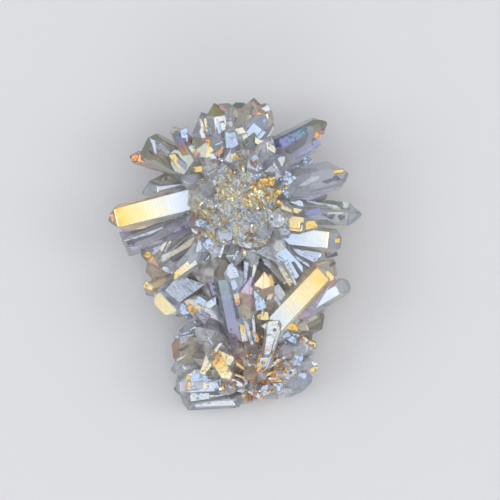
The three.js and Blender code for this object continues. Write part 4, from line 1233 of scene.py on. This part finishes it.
# painted shade: the dark colour laid into the growth grooves
PAINTED_GROOVE_SHADE = (0.10, 0.12, 0.16, 1)
GROOVES_PER_MM = 2.6
QUARTZ_INDEX = 1.544  # how strongly quartz bends light

finish, shader, place = new_material("film_coated_quartz")
order, shine, from_tip = place.carried("growth").parts()
grooved, glitter, massive = place.carried("trait").parts()

patchy = place.cloud(4.0) - 0.5
order = order + patchy * 0.12 + (place.cloud(0.8) - 0.5) * (glitter * 0.3 + 0.05)
film = (order / ORDERS).ramp([(position, srgb(*colour)) for position, colour in FILM])
tinted = (shine * 0.8 + 0.12).clamp()
# painted dark reflection: where the milk number is below zero, the colour is painted near black
painted_dark = (massive * -1.0).clamp()
massive = massive.clamp()
lines = from_tip.node("ShaderNodeTexNoise", {"noise_dimensions": "1D"}, W=from_tip * GROOVES_PER_MM,
                      Scale=1.0, Detail=3.0, Roughness=0.7)
# painted groove shade: where the groove noise is high, the dark colour is mixed in
grooves_and_shade = (lines.step(0.52, 0.58) * grooved * 0.8).clamp()
# film over clear glass, then the painted dark reflection, then the painted groove shade over all
colour = grooves_and_shade.mix(painted_dark.mix(tinted.mix(CLEAR, film), PAINTED_DARK_REFLECTION), PAINTED_GROOVE_SHADE)


def splinters(size, tilt):
    """Height in millimetres of a surface broken into flat cells: each cell of a Voronoi pattern is a
    plane through its own middle with a random slope, h = slope . (place - middle)."""
    cells = {"Vector": place, "Scale": 1 / (size * MM)}
    slope, middle = (place.node("ShaderNodeTexVoronoi", out=k, **cells) for k in (1, 2))
    slope = slope.node("ShaderNodeVectorMath", {"operation": "SUBTRACT"}, _0=slope, _1=(0.5, 0.5, 0.5))
    away = place.node("ShaderNodeVectorMath", {"operation": "SUBTRACT"}, _0=place, _1=middle)
    height = place.node("ShaderNodeVectorMath", {"operation": "DOT_PRODUCT"}, out=1, _0=slope, _1=away)
    return height / MM * tilt


height = (splinters(0.9, 0.55) + splinters(0.45, 0.42)) * glitter
bump = height.node("ShaderNodeBump", Strength=1.0, Distance=MM, Height=height)
height = lines * (grooved + 0.15) * 0.4 + place.cloud(1.6) * 0.35
bump = height.node("ShaderNodeBump", Strength=0.35, Distance=0.05 * MM, Height=height, Normal=bump)
rough = (place.cloud(2.2, 4.0).step(0.45, 0.75) * 0.10 + 0.03 + massive * 0.25).clamp()
metallic = (shine * 0.62 + patchy * 0.08 * shine).clamp(0.0, 0.8)
fill(shader, Base_Color=colour, Metallic=metallic, Roughness=rough, Normal=bump,
     Transmission_Weight=1.0, IOR=QUARTZ_INDEX)
print("nodes so far:", len(place.tree.nodes))

# %% [markdown]
# Two opaque matters lie over the glass, each on a share of the surface: milk, where the root shows
# through, and iron rust, in stains low in the foot. The body takes a little of the light inside it.

# %% Milk and rust on the finish
RUST_MIDDLE = (6.5, -28.5)
RUST_REACH = 10.5  # mm


def over(under, share, name, colour, roughness):
    """Lays an opaque matter over what is under it, on a share of the surface."""
    matter = place.node("ShaderNodeBsdfPrincipled", {"name": name}, Base_Color=colour,
                        Roughness=roughness, Normal=bump)
    return place.node("ShaderNodeMixShader", _0=share, _1=under, _2=matter)


milky = from_tip.step(7.0, 20.0) * 0.5 * (1.0 - shine) + massive * 0.6
milky = (milky * place.cloud(2.6, 5.0).step(0.34, 0.62) + 0.2).clamp()
pearl = (shine * 0.25 + 0.25).mix(srgb(214, 212, 210), film)
surface = over(Sock(place.tree, shader.outputs[0]), milky, "milk", pearl, 0.4)

x, y, _ = place.parts()
dx, dy = x / MM - RUST_MIDDLE[0], y / MM - RUST_MIDDLE[1]
around = (1.0 - (dx * dx + dy * dy * 1.3).maths("SQRT") / RUST_REACH).clamp()
rust = (around * 1.5).clamp() * place.cloud(1.7, 5.0).step(0.49, 0.58) * 0.75
brown = place.cloud(0.8, 3.0).step(0.4, 0.6).mix(srgb(172, 108, 44), srgb(222, 168, 96))
surface = over(surface, rust, "rust", brown, 0.6)

inside = place.node("ShaderNodeVolumeAbsorption", Color=(0.86, 0.85, 0.90, 1), Density=30.0)
fill(place.tree.nodes["Material Output"], Surface=surface, Volume=inside)
print("nodes in all:", len(place.tree.nodes))

stone.data.materials.clear()
stone.data.materials.append(finish)
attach(stone, "root")
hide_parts("quartz_cluster")

# %% [markdown]
# ## The milky heart
# Below the clear tips the quartz is clouded by countless tiny drops of water. It is made as an inner
# body just under the skin of the root, and as a veil inside each point: a thinner point, full of
# holes, that thins out towards the tip. Its holes are long, since the drops lie in streaks.


# %% Milky veils
def veil(row, seed, rng):
    """The inner copy of one point, with corner vectors: grain is the place in the point's own frame
    with the length squeezed to a fifth, and fade runs from 0 at the tip to 1 at the root."""
    tip, root, length, axis, up, side = own_frame(row)
    short = tip - axis * length * rng.uniform(0.10, 0.45)
    thin = (tuple(short), tuple(root), row[2] * rng.uniform(0.45, 0.72), row[3], row[4], EVEN, (0, 0, 0))
    vertices, faces, _, fade = crystal(thin, 0, rng)
    at = vertices[faces] - root
    grain = np.stack([at @ up, at @ side, at @ axis / 5 + 40 * seed], axis=2)
    fade[..., 0] = 1 - at @ axis / np.linalg.norm(short - root)
    return vertices, faces, grain, fade


parts = [veil(row, k * 0.137 % 1, rng) for k, row in enumerate(ROWS) if row[2] > STOUT]
vertices, faces, grain, fade = joined(parts)
veils = mesh_object("milky_veils", vertices, faces, grain=grain, fade=fade)
milk, shader, place = new_material("milky_veil")
grain = place.carried("grain")
fade = place.carried("fade").parts()[0]
streaks = grain.node("ShaderNodeTexNoise", Vector=grain, Scale=0.9, Detail=4.0, Roughness=0.65)
alpha = (streaks.step(0.50, 0.66) * fade.step(0.0, 0.5) * 0.85).clamp()
fill(shader, Alpha=alpha, Base_Color=srgb(228, 228, 232), Roughness=0.6)
veils.data.materials.append(milk)
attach(veils, "root")
print("veils:", len(parts), "triangles:", len(faces))

# %% Milky heart
inner = [lump(middle, radii, rng, share=0.9, count=40, low=0.7) for middle, radii in LUMPS]
heart = mesh_object("milky_heart", *joined(inner)[:2])
milk, shader, place = new_material("milky_quartz")
pale = place.cloud(2, 6.0).step(0.3, 0.7).mix(srgb(150, 146, 148), srgb(232, 228, 226))
fill(shader, Base_Color=pale, Roughness=0.6)
heart.data.materials.append(milk)
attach(heart, "root")
print("heart triangles:", len(heart.data.polygons))

# %% [markdown]
# ## Sizes
# The box of the finished model is set beside the box of the solid in one dictionary, and the visual box
# is printed, so that the two can be compared.

# %% Sizes
boxes = {"cad": [list(corner) for corner in cad_box], "visual": [list(corner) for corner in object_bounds()]}
print("visual box, mm:", [[round(v / MM, 1) for v in corner] for corner in boxes["visual"]])
